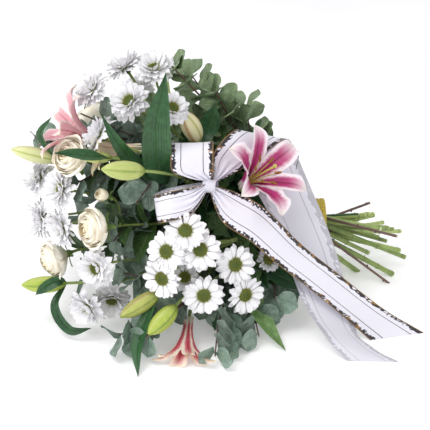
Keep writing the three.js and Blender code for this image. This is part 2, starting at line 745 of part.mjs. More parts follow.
// Leafy branches: where the main shoot ends, and the side shoot that forks off at a share of its length
const EUCALYPTUS = {
  top: {
    cut: 141,
    end: [-182, -10, 322],
    from: 0.64,
    leaves: 5,
    side: { fork: 0.5, end: [-90, 10, 262], leaves: 3 },
  },
  left: {
    cut: 66,
    end: [-298, -38, 270],
    from: 0.74,
    leaves: 3,
    side: { fork: 0.55, end: [-224, -132, 192], leaves: 3 },
  },
  low: {
    cut: 96,
    end: [-214, -196, 38],
    from: 0.62,
    leaves: 4,
    side: { fork: 0.3, end: [-50, -128, 48], leaves: 2 },
  },
  far: { cut: 112, end: [-160, 172, 90], from: 0.6, leaves: 3 },
};

const RUSCUS = {
  under: { cut: 70, end: [-262, 78, 18], from: 0.6, leaves: 4 },
};

// The largest leaves, one by one: each starts on its stem, at a share of its length or at a bud's foot
const LARGE_LEAVES = [
  { on: "lily_left", from: 0.97, width: 36, up: [0.3, -1, 0.2],
    line: [[-196, -92, 216], [-199, -110, 274], [-186, -100, 349]] },
  { on: "lily_left", from: 0.95, width: 20, up: [0.2, -1, 0.3],
    line: [[-222, -98, 226], [-242, -117, 262], [-262, -120, 306]] },
  { on: "lily_left", bud: 1, width: 18, up: [0, -0.5, 1],
    line: [[-272, -132, 256], [-292, -142, 264], [-316, -150, 270]] },
  { on: "lily_left", bud: 2, width: 10, up: [-0.4, -0.9, 0],
    line: [[-338, -62, 232], [-346, -66, 255], [-330, -66, 278]] },
  { on: "lily_low", bud: 2, width: 15, up: [-0.3, -0.7, 0.3],
    line: [[-334, -136, 46], [-314, -152, 16], [-286, -160, 25]] },
  { on: "lily_low", bud: 2, width: 15, up: [0, -0.8, 0.6],
    line: [[-330, -122, 72], [-344, -128, 68], [-360, -130, 56]] },
  { on: "lily_low", bud: 0, width: 20, up: [-0.5, -0.6, 0.5],
    line: [[-214, -174, 50], [-224, -202, 24], [-223, -228, -0.7]] },
  { on: "lily_top", bud: 0, width: 26, up: [0, -1, 0.3],
    line: [[-140, -41, 244], [-134, -38, 258], [-128, -38, 282]] },
  { on: "lily_far", from: 0.97, width: 26, up: [-0.3, 0.6, 0.7],
    line: [[-206, 116, 62], [-240, 130, 26], [-262, 138, -0.7]] },
  { on: "rose_low", from: 0.95, width: 24, up: [-0.9, -0.2, 0.2],
    line: [[-296, -72, 58], [-310, -70, 26], [-318, -68, -0.7]] },
  { on: "chrysanthemum_low", from: 0.99, width: 30, up: [0.2, -0.5, 0.85],
    line: [[-52, -104, 74], [-32, -112, 66], [-8, -114, 58]] },
  { on: "chrysanthemum_low", from: 0.98, width: 26, up: [0.3, -0.4, 0.85],
    line: [[-80, -118, 48], [-62, -150, 22], [-38, -178, 4]] },
];

// Growing the stems

const middleOf = (points) => points.reduce((sum, p) => sum.add(p), v(0, 0, 0)).divideScalar(points.length);
const forkOf = (points, share) => v(0, 0, WAIST_HEIGHT).lerp(middleOf(points), share);

const stems = {};
for (const [name, { cut, blooms }] of Object.entries(SPRAYS)) {
  stems[`chrysanthemum_${name}`] = { cut, radius: 3, end: forkOf(blooms.map(([p]) => at(p)), 0.62) };
}
for (const [name, { cut, blooms }] of Object.entries(ROSES)) {
  const [p, face, size] = blooms[0];
  const end = at(p).addScaledVector(at(face).normalize(), -size - 14);
  stems[`rose_${name}`] = { cut, radius: 2.6, end };
}
for (const [name, { cut, flowers, buds }] of Object.entries(LILIES)) {
  const heads = [...flowers.map((f) => at(f.at)), ...buds.map((b) => at(b.base))];
  stems[`lily_${name}`] = { cut, radius: 3.7, end: forkOf(heads, heads.length > 1 ? 0.68 : 0.7) };
}
for (const [name, { cut, end }] of Object.entries(EUCALYPTUS)) {
  stems[`eucalyptus_${name}`] = { cut, radius: 1.8, end: at(end) };
}
for (const [name, { cut, end }] of Object.entries(RUSCUS)) {
  stems[`ruscus_${name}`] = { cut, radius: 1.6, end: at(end) };
}
const KNOT = v(-134, -114, 207);
stems.bow_pick = { cut: 40, radius: 1.1, end: KNOT.clone().add(v(1, 1, -8.3)) };
packStems(Object.values(stems));

const STEM_FINISH = {
  chrysanthemum: "chrysanthemum_green",
  rose: "rose_green",
  lily: "lily_green",
  eucalyptus: "eucalyptus",
  ruscus: "ruscus",
  bow: "wire",
};
for (const [name, stem] of Object.entries(stems)) {
  openNode(name, STEM_FINISH[name.split("_")[0]]);
  putStem(name, stem);
}

for (const [name, { side }] of Object.entries(EUCALYPTUS)) {
  if (!side) continue;
  const { curve } = stems[`eucalyptus_${name}`];
  const fork = curve.getPoint(side.fork);
  const along = curve.getTangent(side.fork);
  const versions = SHIFTS.map((shift) => {
    const bend = fork.clone().addScaledVector(along, 0.45 * fork.distanceTo(at(side.end))).add(at(shift));
    return pathThrough(new THREE.QuadraticBezierCurve3(fork, bend, at(side.end)).getPoints(4));
  });
  const chosen = bendClear(
    `eucalyptus_${name}`,
    versions.map((way) => (extra) => {
      const points = [way.getPoint(0), ...way.curves.map((piece) => piece.v2)];
      return stalk(points, [1.5, 1.4, 1.3, 1.2, 1], 5, extra);
    }),
  );
  side.curve = versions[Math.max(0, chosen)];
}

// The ribbon: satin strips, each given by its two edges

/** A strip of ribbon between two edge curves. */
function ribbon(edges, steps, extra) {
  const edgeLine = (points) => new THREE.CatmullRomCurve3(points.map(at), false, "centripetal");
  const [a, b] = edges.map((points) => edgeLine(points).getPoints(steps));
  const rings = a.map((p, i) => {
    const across = b[i].clone().sub(p).normalize();
    const along = a[Math.min(i + 1, steps)].clone().sub(a[Math.max(i - 1, 0)]);
    const normal = new THREE.Vector3().crossVectors(along, across).normalize();
    const half = RIBBON_THICKNESS / 2 + extra;
    const corner = (from, side, way) =>
      from.clone().addScaledVector(normal, side * half).addScaledVector(across, way * extra);
    return [corner(p, 1, -1), corner(b[i], 1, 1), corner(b[i], -1, 1), corner(p, -1, -1)];
  });
  return loft(rings);
}

const RIBBONS = {
  tail_front: {
    steps: 12,
    edges: [
      [
        [-129, -118, 210], [-97, -118, 198], [-68, -123, 182], [-21, -128, 133],
        [31, -132, 88], [93, -134, 35], [146, -137, 0.9],
      ],
      [
        [-135, -121, 204], [-119, -136, 169], [-85, -142, 145], [-52, -146, 115],
        [-15, -149, 84], [32, -151, 41], [73, -153, 0.9],
      ],
    ],
  },
  tail_back: {
    steps: 14,
    edges: [
      [
        [-128, -109, 209], [-92, -88, 219], [-44, -62, 243], [-33, -50, 238],
        [-19, -52, 208], [6, -74, 155], [27, -98, 107], [42, -124, 62],
        [52, -142, 24], [58, -154, 8], [78, -177, 3], [103, -198, 0.9],
      ],
      [
        [-130, -108.5, 212.5], [-130, -98, 243], [-104, -70, 262], [-95, -58, 250],
        [-84, -78, 200], [-55, -100, 150], [-35, -122, 101], [-17, -150, 62],
        [12, -182, 26], [39, -196, 0.9],
      ],
    ],
  },
  loop_upper: {
    steps: 10,
    edges: [
      [
        [-139, -112, 212], [-180, -113, 226], [-182, -107, 246], [-182, -92, 254],
        [-180, -76, 236], [-139, -104, 211],
      ],
      [
        [-132, -113, 213], [-130, -111, 226], [-130, -105, 247], [-130, -90, 255],
        [-132, -74, 236], [-132, -105, 213],
      ],
    ],
  },
  loop_lower: {
    steps: 10,
    edges: [
      [
        [-140, -119, 212], [-160, -124, 210], [-186, -128, 206], [-204, -118, 196],
        [-190, -106, 198], [-160, -104, 204], [-141, -105, 208],
      ],
      [
        [-137, -121, 205], [-158, -138, 180], [-184, -148, 176], [-198, -138, 168],
        [-186, -124, 166], [-158, -116, 176], [-138, -109, 201],
      ],
    ],
  },
};

for (const [name, { edges, steps }] of Object.entries(RIBBONS)) {
  fit(openNode(`ribbon_${name}`, "satin"), (extra) => ribbon(edges, steps, extra));
}
fit(openNode("ribbon_knot", "satin"), (extra) => {
  const ball = new THREE.SphereGeometry(1, 8, 6).scale(9 + extra, 7 + extra, 8 + extra);
  return solidOf(ball, new THREE.Matrix4().setPosition(KNOT));
});

// The raffia tie, drawn tight round the bundle just past the waist
const bundleAt = (x) =>
  Object.values(stems)
    .filter(({ cut, radius }) => cut > x + TIE_WIDTH && radius > 1.2)
    .map((stem) => {
      const i = stem.line.findIndex((p) => p.x < x);
      const [p, q] = [stem.line[i - 1], stem.line[i]];
      return { radius: stem.radius, point: p.clone().lerp(q, (p.x - x) / (p.x - q.x)) };
    });
const bundle = [TIE_X - TIE_WIDTH / 2, TIE_X + TIE_WIDTH / 2].flatMap(bundleAt);
const tieCentre = v(TIE_X, 0, middleAt(TIE_X));
const reachOf = ({ point: { x, y, z }, radius }) => Math.hypot(y, z - middleAt(x)) + radius * 1.15;
const tieRadius = Math.max(...bundle.map(reachOf));
fit(openNode("raffia_tie", "raffia"), (extra) =>
  solidOf(
    new THREE.LatheGeometry(
      [
        [tieRadius + 0.3 - extra, -TIE_WIDTH / 2 - extra],
        [tieRadius + 2.8 + extra, -TIE_WIDTH / 2 - extra],
        [tieRadius + 2.8 + extra, TIE_WIDTH / 2 + extra],
        [tieRadius + 0.3 - extra, TIE_WIDTH / 2 + extra],
        [tieRadius + 0.3 - extra, -TIE_WIDTH / 2 - extra],
      ].map(([x, y]) => new THREE.Vector2(x, y)),
      16,
    ).rotateZ(Math.PI / 2),
    new THREE.Matrix4().setPosition(tieCentre),
  ),
);

// Shoots, cups and discs, stamens and buds go in before the petals, which are cut back to clear them
for (const [name, { blooms }] of Object.entries(SPRAYS)) {
  const green = `chrysanthemum_${name}`;
  blooms.forEach((bloom, i) => {
    bloom.matrix = facing(at(bloom[0]), at(bloom[1]), draw(0, 60));
    putShoot(green, stems[green].curve.getPoint(0.995 - 0.035 * i), bloom.matrix, daisyHeart(bloom[2]));
  });
}
for (const [name, { blooms }] of Object.entries(ROSES)) {
  const green = `rose_${name}`;
  for (const [p, way, size] of blooms) {
    const foot = -0.95 * size - 0.4;
    const profile = [[1.9, foot - 8], [0.16 * size + 1.2, foot - 2.2], [0.16 * size, foot]];
    const shape = { radius: 1.9, sides: 5, profile };
    putShoot(green, stems[green].curve.getPoint(0.99), facing(at(p), at(way)), shape);
  }
}
for (const [name, { flowers, buds }] of Object.entries(LILIES)) {
  const green = `lily_${name}`;
  const heads = [
    ...flowers.map(({ at: p, face }) => [facing(at(p), at(face)), 2.3, [[2.6, -30], [2.4, -14]]]),
    ...buds.map(({ base, tip }) => [facing(at(base), at(tip).sub(at(base))), 1.9, [[1.9, -3], [1.9, 4]]]),
  ];
  heads.forEach(([matrix, radius, profile], i) => {
    putShoot(green, stems[green].curve.getPoint(0.995 - 0.03 * i), matrix, { radius, sides: 5, profile });
  });
  flowers.forEach(({ size, shows }, i) => {
    if (shows) put(green, (extra) => lilyStamens(heads[i][0], size, extra));
  });
  for (const { base, tip, radius } of buds) fit(green, (extra) => lilyBud(at(base), at(tip), radius, extra));
}

// Petals
for (const [name, { flowers }] of Object.entries(LILIES)) {
  flowers.forEach((flower, i) => {
    const matrix = facing(at(flower.at), at(flower.face));
    fit(openNode(`lily_${name}_flower_${i + 1}`, "pink"), (extra) => lilyFlower(matrix, flower, extra));
  });
}
for (const [name, { blooms }] of Object.entries(ROSES)) {
  blooms.forEach(([p, way, size, turn = 0], i) => {
    const matrix = facing(at(p), at(way), 40 * i + turn);
    fit(openNode(`rose_${name}_bloom_${i + 1}`, "cream"), (extra) => rose(matrix, size, extra));
  });
}
for (const [name, { blooms }] of Object.entries(SPRAYS)) {
  const petals = [];
  blooms.forEach(({ 2: size, matrix }, i) => {
    const lifts = Array.from({ length: DAISY_RAYS }, () => [draw(-1.5, 3), draw(0.94, 1.03)]);
    const make = (extra) => daisyRays(matrix, size, lifts, extra);
    // Blooms of one spray that press into each other share a node.
    const meets = (item) => item.solid.intersect(make(0)).volume() > 0.5;
    const pressed = petals.filter((other) => nodes.get(other).items.some(meets));
    let home = `chrysanthemum_${name}_rays_${i + 1}`;
    if (pressed.length) {
      home = pressed[0];
      for (const other of pressed.slice(1)) {
        nodes.get(home).items.push(...nodes.get(other).items);
        nodes.delete(other);
        petals.splice(petals.indexOf(other), 1);
      }
    } else {
      openNode(home, "white");
      petals.push(home);
    }
    fit(home, make);
  });
}

// Large leaves first, then the small ones, each turned on its stem until it is clear of its neighbours
LARGE_LEAVES.forEach(putPlannedLeaf);
const gum = { ...ROUND_LEAF, length: 33, width: 27, droop: 0.12 };
for (const [name, { from, leaves, side }] of Object.entries(EUCALYPTUS)) {
  const { curve } = stems[`eucalyptus_${name}`];
  const order = { pair: 2, turn: 90, lean: 0.75, shape: gum };
  putFoliage(`eucalyptus_${name}`, curve, { ...order, from, to: 0.985, steps: leaves });
  if (!side) continue;
  putFoliage(`eucalyptus_${name}`, side.curve, { ...order, from: 0.35, to: 0.97, steps: side.leaves });
}
for (const [name, { from, leaves }] of Object.entries(RUSCUS)) {
  const shape = { ...OVAL_LEAF, length: 40, width: 19, droop: 0.1 };
  const order = { from, to: 0.98, steps: leaves, pair: 2, turn: 60, lean: 1.2, shape };
  putFoliage(`ruscus_${name}`, stems[`ruscus_${name}`].curve, order);
}
for (const name of Object.keys(LILIES)) {
  const shape = { ...LONG_LEAF, length: 78, width: 16, droop: 0.25 };
  const order = { from: 0.66, to: 0.9, steps: 2, pair: 1, turn: 137, lean: 1.4, shape };
  putFoliage(`lily_${name}`, stems[`lily_${name}`].curve, order);
}
for (const name of Object.keys(ROSES)) {
  const shape = { ...OVAL_LEAF, length: 44, width: 24, droop: 0.15 };
  const order = { from: 0.66, to: 0.86, steps: 2, pair: 1, turn: 130, lean: 0.8, shape };
  putFoliage(`rose_${name}`, stems[`rose_${name}`].curve, order);
}
for (const [name, { lobed = 1 }] of Object.entries(SPRAYS)) {
  putLobedLeaves(`chrysanthemum_${name}`, stems[`chrysanthemum_${name}`].curve, lobed);
}

// Joining each node's solids, and laying the bouquet on its surface
const floor = solidOf(new THREE.BoxGeometry(2000, 2000, 200).translate(0, 0, -100), new THREE.Matrix4());
const bouquet = new THREE.Group();
for (const [name, { finish, items }] of nodes) {
  const whole = items.reduce((sum, item) => (sum ? sum.add(item.solid) : item.solid), null);
  const solid = largest(whole.subtract(floor));
  const mesh = solid.getMesh();
  const geometry = new THREE.BufferGeometry()
    .setAttribute("position", new THREE.BufferAttribute(new Float32Array(mesh.vertProperties), 3))
    .setIndex(new THREE.BufferAttribute(new Uint32Array(mesh.triVerts), 1));
  geometry.computeVertexNormals();
  const [color, roughness] = COLOURS[finish];
  const part = new THREE.Mesh(geometry, new THREE.MeshStandardMaterial({ color, roughness, metalness: 0 }));
  part.name = name;
  bouquet.add(part);
}
const bounds = new THREE.Box3().setFromObject(bouquet);
const centre = bounds.getCenter(new THREE.Vector3());
bouquet.position.set(-centre.x, -centre.y, -bounds.min.z);

export default bouquet;
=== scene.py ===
"""The looks of a hand-tied funeral bouquet that lies on its side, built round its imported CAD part.

Shapes are worked out in millimetres in the tie's own frame, where x = y = 0 is under the waist of the bundle and
z = 0 is the surface that the bouquet lies on. Each finished mesh is then moved into the row frame, in metres.
"""

import logging
import random
from collections.abc import Callable, Iterable, Sequence
from dataclasses import dataclass, field, replace
from enum import Enum
from math import atan, cos, exp, hypot, pi, radians, sin, sqrt

import bmesh
import bpy
from mathutils import Matrix, Vector


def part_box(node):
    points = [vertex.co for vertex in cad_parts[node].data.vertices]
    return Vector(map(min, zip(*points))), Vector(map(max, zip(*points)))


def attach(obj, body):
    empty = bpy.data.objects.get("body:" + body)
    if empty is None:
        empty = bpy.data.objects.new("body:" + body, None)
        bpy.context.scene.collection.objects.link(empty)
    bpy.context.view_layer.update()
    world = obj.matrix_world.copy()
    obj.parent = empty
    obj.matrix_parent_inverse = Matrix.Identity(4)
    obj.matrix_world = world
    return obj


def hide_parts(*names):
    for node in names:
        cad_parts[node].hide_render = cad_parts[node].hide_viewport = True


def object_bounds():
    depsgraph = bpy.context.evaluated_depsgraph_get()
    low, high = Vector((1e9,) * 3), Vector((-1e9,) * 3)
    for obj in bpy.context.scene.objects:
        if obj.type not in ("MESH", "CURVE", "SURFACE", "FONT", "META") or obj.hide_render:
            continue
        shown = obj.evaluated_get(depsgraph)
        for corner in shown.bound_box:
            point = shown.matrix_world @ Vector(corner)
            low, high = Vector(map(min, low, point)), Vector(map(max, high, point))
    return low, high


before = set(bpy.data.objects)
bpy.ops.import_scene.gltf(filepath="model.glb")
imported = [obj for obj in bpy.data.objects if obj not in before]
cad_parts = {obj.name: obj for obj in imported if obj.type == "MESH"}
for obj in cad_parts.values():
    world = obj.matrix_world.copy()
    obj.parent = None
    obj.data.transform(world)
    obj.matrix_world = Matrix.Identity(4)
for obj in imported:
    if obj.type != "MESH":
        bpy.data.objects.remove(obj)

CAD_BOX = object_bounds()
log = logging.getLogger("bouquet")

# Driving dimensions, in millimetres, as in the part's source
WAIST_HEIGHT = 87.0
HEAD_RISE = 0.23
TAIL_DROP = 0.16
HEAD_SWIRL = 22.0
TAIL_SWIRL = 36.0
STATIONS = (-230, -180, -138, -98, -64, -38, -18, 0, 20, 45, 90, 160)
STEM_GAP = 0.45
TIE_X = 17.0
TIE_WIDTH = 11.0
KNOT = Vector((-134, -114, 207))
LILY_PATH = ((6.5, -19), (17, 4), (44, 33), (66, 42), (80, 37))
LILY_WIDTHS = (9, 16, 33, 26, 3)
UP = Vector((0, 0, 1))
METRE = 0.001
GOLDEN_ANGLE = radians(137.508)

# Where the leaves turn their faces to
LIGHT_SIDE = Vector((-0.2, -0.65, 0.73))

# The camera, from the photograph: it looks down 30 degrees from 1.4 m away
CAMERA_SPOT = Vector((-128, -1212.4, 800))
CAMERA_AIM = Vector((-128, 0, 100))
TO_CAMERA = (CAMERA_SPOT - CAMERA_AIM).normalized()
CAMERA_LENS = 84.93
SENSOR = 36.0

Spot = tuple[float, float, float]
Face = tuple[Vector, Vector, float]
Place = Callable[[float, float], Vector]
Chart = Callable[[float, float], tuple[float, float]]


def middle_at(x: float) -> float:
    """The height of the bundle's middle at x."""
    return WAIST_HEIGHT - x * (HEAD_RISE if x < 0 else TAIL_DROP)


def tie_frame() -> Matrix:
    """The transform from millimetres round the tie to the row frame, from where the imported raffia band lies.

    Returns:
        A matrix that scales to metres and moves.
    """
    low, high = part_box("raffia_tie")
    middle = (low + high) / 2
    return Matrix.Translation(middle - METRE * Vector((TIE_X, 0, middle_at(TIE_X)))) @ Matrix.Scale(METRE, 4)


TO_ROW = tie_frame()


def nodes_named(start: str) -> list[str]:
    """The CAD nodes whose names start so."""
    return [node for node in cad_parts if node.startswith(start)]


def plain_chart(u: float, v: float) -> tuple[float, float]:
    """Surface coordinates that are the shares themselves."""
    return u, v


def capped_chart(rows: int) -> Chart:
    """Surface coordinates of a shape with so many rows and a closing row at each end."""
    return lambda u, v: (u, min(1.0, max(0.0, (v * (rows + 2) - 1) / rows)))


def colour(code: str) -> tuple[float, float, float, float]:
    """An sRGB colour in hexadecimal as linear red, green and blue, with alpha 1."""
    parts = [int(code[i : i + 2], 16) / 255 for i in (0, 2, 4)]
    red, green, blue = (c / 12.92 if c <= 0.04045 else ((c + 0.055) / 1.055) ** 2.4 for c in parts)
    return red, green, blue, 1.0


def facing(spot: Vector, direction: Vector, spin: float = 0.0) -> Matrix:
    """The matrix that puts local +Z along a direction.

    Args:
        spot: Where the local origin goes.
        direction: Where local +Z points.
        spin: The turn about it, in degrees.

    Returns:
        A matrix in millimetres.
    """
    z = direction.normalized()
    x = (Vector((1, 0, 0)) if abs(z.z) > 0.95 else UP).cross(z).normalized()
    y = z.cross(x)
    turned = Matrix((x, y, z)).transposed().to_4x4() @ Matrix.Rotation(radians(spin), 4, "Z")
    return Matrix.Translation(spot) @ turned


def soft_step(x: float, low: float, high: float) -> float:
    """A smooth rise from 0 at low to 1 at high."""
    t = min(1.0, max(0.0, (x - low) / (high - low)))
    return t * t * (3 - 2 * t)


def around(out: float, angle: float, height: float, across: float = 0.0) -> Vector:
    """The point so far out at an angle round Z and so far across that, at a height."""
    return Vector((out * cos(angle) - across * sin(angle), out * sin(angle) + across * cos(angle), height))


def about(line: Vector, angle: float) -> Vector:
    """The unit vector square to a line, at an angle round it from its level side."""
    return Matrix.Rotation(angle, 3, line) @ line.cross(UP).normalized()


def hermite(p: Vector, m: Vector, q: Vector, n: Vector, t: float) -> Vector:
    """The point at t of the cubic from p to q, whose slopes there are m and n."""
    return p * (2 * t**3 - 3 * t**2 + 1) + m * (t**3 - 2 * t**2 + t) + q * (3 * t**2 - 2 * t**3) + n * (t**3 - t**2)


def bent(start: Vector, bend: Vector, end: Vector, steps: int) -> list[Vector]:
    """Points on the curve that leaves start towards bend and reaches end from it."""
    return [start.lerp(bend, t).lerp(bend.lerp(end, t), t) for t in (i / steps for i in range(steps + 1))]


def length_of(spots: Sequence[Vector]) -> float:
    """The length of the straight steps from spot to spot."""
    return sum((q - p).length for p, q in zip(spots, spots[1:]))


class Spline:
    """A smooth line through points of any size, at shares from 0 to 1 of its length."""

    def __init__(self, points: Sequence[Vector], knots: Sequence[float] | None = None) -> None:
        """Sets the line's points, and its knots if they aren't spaced by length.

        Args:
            points: What it passes through.
            knots: The share at which it passes each point.
        """
        self.points = [Vector(p) for p in points]
        if knots is None:
            sums = [0.0]
            for p, q in zip(self.points, self.points[1:]):
                sums.append(sums[-1] + max(1e-6, (q - p).length))
            knots = [s / sums[-1] for s in sums]
        self.knots = list(knots)
        slopes = [(q - p) / (t - s) for p, q, s, t in zip(self.points, self.points[1:], knots, knots[1:])]
        self.tangents = [slopes[0]]
        for i in range(1, len(self.points) - 1):
            before, after = knots[i] - knots[i - 1], knots[i + 1] - knots[i]
            self.tangents.append((slopes[i - 1] * after + slopes[i] * before) / (before + after))
        self.tangents.append(slopes[-1])

    def __call__(self, share: float) -> Vector:
        """The point at a share of the line."""
        i = 0
        while i < len(self.knots) - 2 and share > self.knots[i + 1]:
            i += 1
        span = self.knots[i + 1] - self.knots[i]
        slopes = self.tangents[i] * span, self.tangents[i + 1] * span
        return hermite(self.points[i], slopes[0], self.points[i + 1], slopes[1], (share - self.knots[i]) / span)

    def along(self, share: float) -> Vector:
        """The direction of the line at a share of it."""
        return (self(min(1.0, share + 0.01)) - self(max(0.0, share - 0.01))).normalized()

    def length(self) -> float:
        """The line's length."""
        return length_of([self(i / 60) for i in range(61)])


def outline(*stops: tuple[float, float]) -> Callable[[float], float]:
    """A smooth profile through pairs of position, from 0 to 1, and value, as a function."""
    line = Spline([Vector((value, 0)) for _, value in stops], [spot for spot, _ in stops])
    return lambda share: line(share).x


# Finishes


class Socket:
    """A shader socket that takes part in Python arithmetic: each operator adds its Math node."""

    def __init__(self, tree: bpy.types.NodeTree, end: bpy.types.NodeSocket) -> None:
        """Wraps an output socket of a node tree."""
        self.tree, self.end = tree, end

    def math(self, operation: str, *others: "Socket | float", first: "Socket | float | None" = None) -> "Socket":
        """Adds a Math node.

        Args:
            operation: The node's operation.
            *others: What follows this value.
            first: What comes before it, if anything does.

        Returns:
            The node's result.
        """
        node = self.tree.nodes.new("ShaderNodeMath")
        node.operation = operation
        values = [self, *others] if first is None else [first, self, *others]
        for place, value in zip(node.inputs, values):
            connect(place, value)
        return Socket(self.tree, node.outputs[0])

    def __add__(self, other: "Socket | float") -> "Socket":
        """This value and another, added."""
        return self.math("ADD", other)

    __radd__ = __add__

    def __sub__(self, other: "Socket | float") -> "Socket":
        """This value less another."""
        return self.math("SUBTRACT", other)

    def __rsub__(self, other: float) -> "Socket":
        """Another value less this one."""
        return self.math("SUBTRACT", first=other)

    def __mul__(self, other: "Socket | float") -> "Socket":
        """This value times another."""
        return self.math("MULTIPLY", other)

    __rmul__ = __mul__

    def __abs__(self) -> "Socket":
        """This value without its sign."""
        return self.math("ABSOLUTE")

    def top(self, most: float = 1.0) -> "Socket":
        """This value, but no more than the most."""
        return self.math("MINIMUM", most)

    def folds(self) -> "Socket":
        """A zigzag that falls from 1 at each whole number to 0 at each half, and rises again."""
        return abs(self.math("FRACT") - 0.5) * 2.0

    def step(self, low: float, high: float) -> "Socket":
        """A smooth rise from 0 to 1 as this value goes from low to high, or a fall if high is below low."""
        node = self.tree.nodes.new("ShaderNodeMapRange")
        node.interpolation_type = "SMOOTHSTEP"
        connect(node.inputs["Value"], self)
        node.inputs["From Min"].default_value, node.inputs["From Max"].default_value = sorted((low, high))
        ends = (1, 0) if high < low else (0, 1)
        node.inputs["To Min"].default_value, node.inputs["To Max"].default_value = ends
        return Socket(self.tree, node.outputs["Result"])


def connect(place: bpy.types.NodeSocket, value: object) -> None:
    """Links a socket to an input, or sets the input to a plain value."""
    if isinstance(value, Socket):
        value.tree.links.new(value.end, place)
    else:
        place.default_value = value


class Shader:
    """A material's node tree round one Principled shader."""

    def __init__(self, material: bpy.types.Material) -> None:
        """Clears the material's tree and adds its shader."""
        material.use_nodes = True
        self.tree = material.node_tree
        self.tree.nodes.clear()
        self.principled = self.tree.nodes.new("ShaderNodeBsdfPrincipled")
        output = self.tree.nodes.new("ShaderNodeOutputMaterial")
        self.tree.links.new(self.principled.outputs[0], output.inputs[0])

    def node(self, kind: str, settings: dict[str, object], values: dict[str | int, object], output: int = 0) -> Socket:
        """Adds a node.

        Args:
            kind: The node's type, without its ShaderNode prefix.
            settings: Its settings, set before its sockets.
            values: The values or links of its sockets, by name or place.
            output: Which of its outputs is wanted.

        Returns:
            That output.
        """
        node = self.tree.nodes.new(f"ShaderNode{kind}")
        for name, value in settings.items():
            setattr(node, name, value)
        for name, value in values.items():
            connect(node.inputs[name], value)
        return Socket(self.tree, node.outputs[output])

    def mix(self, share: Socket | float, a: Socket | str, b: Socket | str) -> Socket:
        """A colour between a, at share 0, and b, at share 1, each a link or a hexadecimal code."""
        a, b = (colour(end) if isinstance(end, str) else end for end in (a, b))
        return self.node("Mix", {"data_type": "RGBA"}, {0: share, 6: a, 7: b}, output=2)

    def noise(self, scale: float, detail: float = 2.0, vector: Socket | None = None) -> Socket:
        """Noise from 0 to 1, in Object coordinates unless another vector is given."""
        spots = vector or self.node("TexCoord", {}, {}, output=3)
        return self.node("TexNoise", {}, {"Vector": spots, "Scale": scale, "Detail": detail})

    def fibres(self, across: float, along: float, detail: float) -> Socket:
        """Noise that is drawn out along the piece: its scales across and along, and its detail."""
        stretched = self.node("Mapping", {}, {"Vector": self.surface()[2], "Scale": (across, along, 1.0)})
        return self.noise(1.0, detail, stretched)

    def surface(self) -> tuple[Socket, Socket, Socket]:
        """Across and along the piece's own surface, from 0 to 1, and both as a vector."""
        chart = self.node("UVMap", {"uv_map": "Surface"}, {})
        across, along = (self.node("SeparateXYZ", {}, {0: chart}, output=i) for i in (0, 1))
        return across, along, chart

    def shade(self) -> Socket:
        """The tint that differs from petal to petal and from leaf to leaf."""
        return self.node("Attribute", {"attribute_name": "shade"}, {}, output=2)

    def coat(self, body: Socket, roughness: Socket | float, height: Socket, relief: float, **more: object) -> None:
        """Sets the shader's sockets.

        Args:
            body: Its colour.
            roughness: Its roughness.
            height: The height of its bump, from 0 to 1.
            relief: How deep that is, in metres.
            **more: Any other sockets, named with underscores for spaces.
        """
        bump = self.node("Bump", {}, {"Height": height, "Distance": relief, "Strength": 1.0})
        for name, value in {"Base_Color": body, "Roughness": roughness, "Normal": bump, **more}.items():
            connect(self.principled.inputs[name.replace("_", " ")], value)


@dataclass(frozen=True)
class Finish:
    """What a surface is made of."""

    name: str

    def paint(self, shader: Shader) -> None:
        """Builds the finish's nodes."""
        raise NotImplementedError

    def material(self) -> bpy.types.Material:
        """The finish's material, made once."""
        found = bpy.data.materials.get(self.name)
        if found is None:
            found = bpy.data.materials.new(self.name)
            self.paint(Shader(found))
        return found


@dataclass(frozen=True)
class RayPetal(Finish):
    """White ray petals: fine grooves along them, painted shade in the grooves, greener and cooler towards the disc."""

    light: str = "fdfcfe"
    # Grey for a tint that differs from ray to ray, and for painted shade in the grooves
    grey_tint_and_groove_shade: str = "dddce4"
    root: str = "dfe3c4"
    ridges: float = 3.0

    def paint(self, shader: Shader) -> None:
        """Builds the finish's nodes."""
        across, along, _ = shader.surface()
        ridges = (across * self.ridges).folds()
        # Painted shade: the grey goes into the grooves between the ridges, on top of a random grey tint per ray
        body = shader.mix(shader.shade() * 0.2 + ridges.step(0.25, 0.0) * 0.25, self.light, self.grey_tint_and_groove_shade)
        body = shader.mix(along.step(0.3, 0.02) * 0.8, body, self.root)
        shader.coat(body, 0.55, ridges + shader.noise(900.0) * 0.2, 0.0004, Specular_IOR_Level=0.3)


@dataclass(frozen=True)
class Floret(Finish):
    """The olive disc of a daisy chrysanthemum: yellower outer florets, and painted shade at each floret's foot."""

    young: str = "4a5f1a"
    ripe: str = "85842a"
    # Painted shade for the foot of each floret
    foot: str = "36451a"

    def paint(self, shader: Shader) -> None:
        """Builds the finish's nodes."""
        tips = shader.mix(shader.shade(), self.young, self.ripe)
        # Painted shade: the dark foot colour darkens the base of each floret, in the crevices between them
        body = shader.mix(shader.surface()[1].step(0.7, 0.1) * 0.45, tips, self.foot)
        shader.coat(body, 0.6, shader.noise(1500.0), 0.0002)


@dataclass(frozen=True)
class RosePetal(Finish):
    """Ivory rose petals, peach and yellow in the heart."""

    outer: str = "fff8e8"
    heart: str = "ffecba"
    root: str = "ffecbc"
    rim: str = "fffbf2"
    vein: str = "f7ebca"

    def paint(self, shader: Shader) -> None:
        """Builds the finish's nodes."""
        _, along, chart = shader.surface()
        warm = shader.mix(shader.shade().step(0.0, 0.75), self.heart, self.outer)
        body = shader.mix(along.step(0.7, 0.1) * 0.35, warm, self.root)
        body = shader.mix(along.step(0.9, 1.0) * 0.5, body, self.rim)
        veins = shader.noise(9.0, 4.0, chart)
        body = shader.mix(veins.step(0.35, 0.7) * 0.07, body, self.vein)
        shader.coat(body, 0.5, veins + shader.noise(500.0) * 0.2, 0.0002)


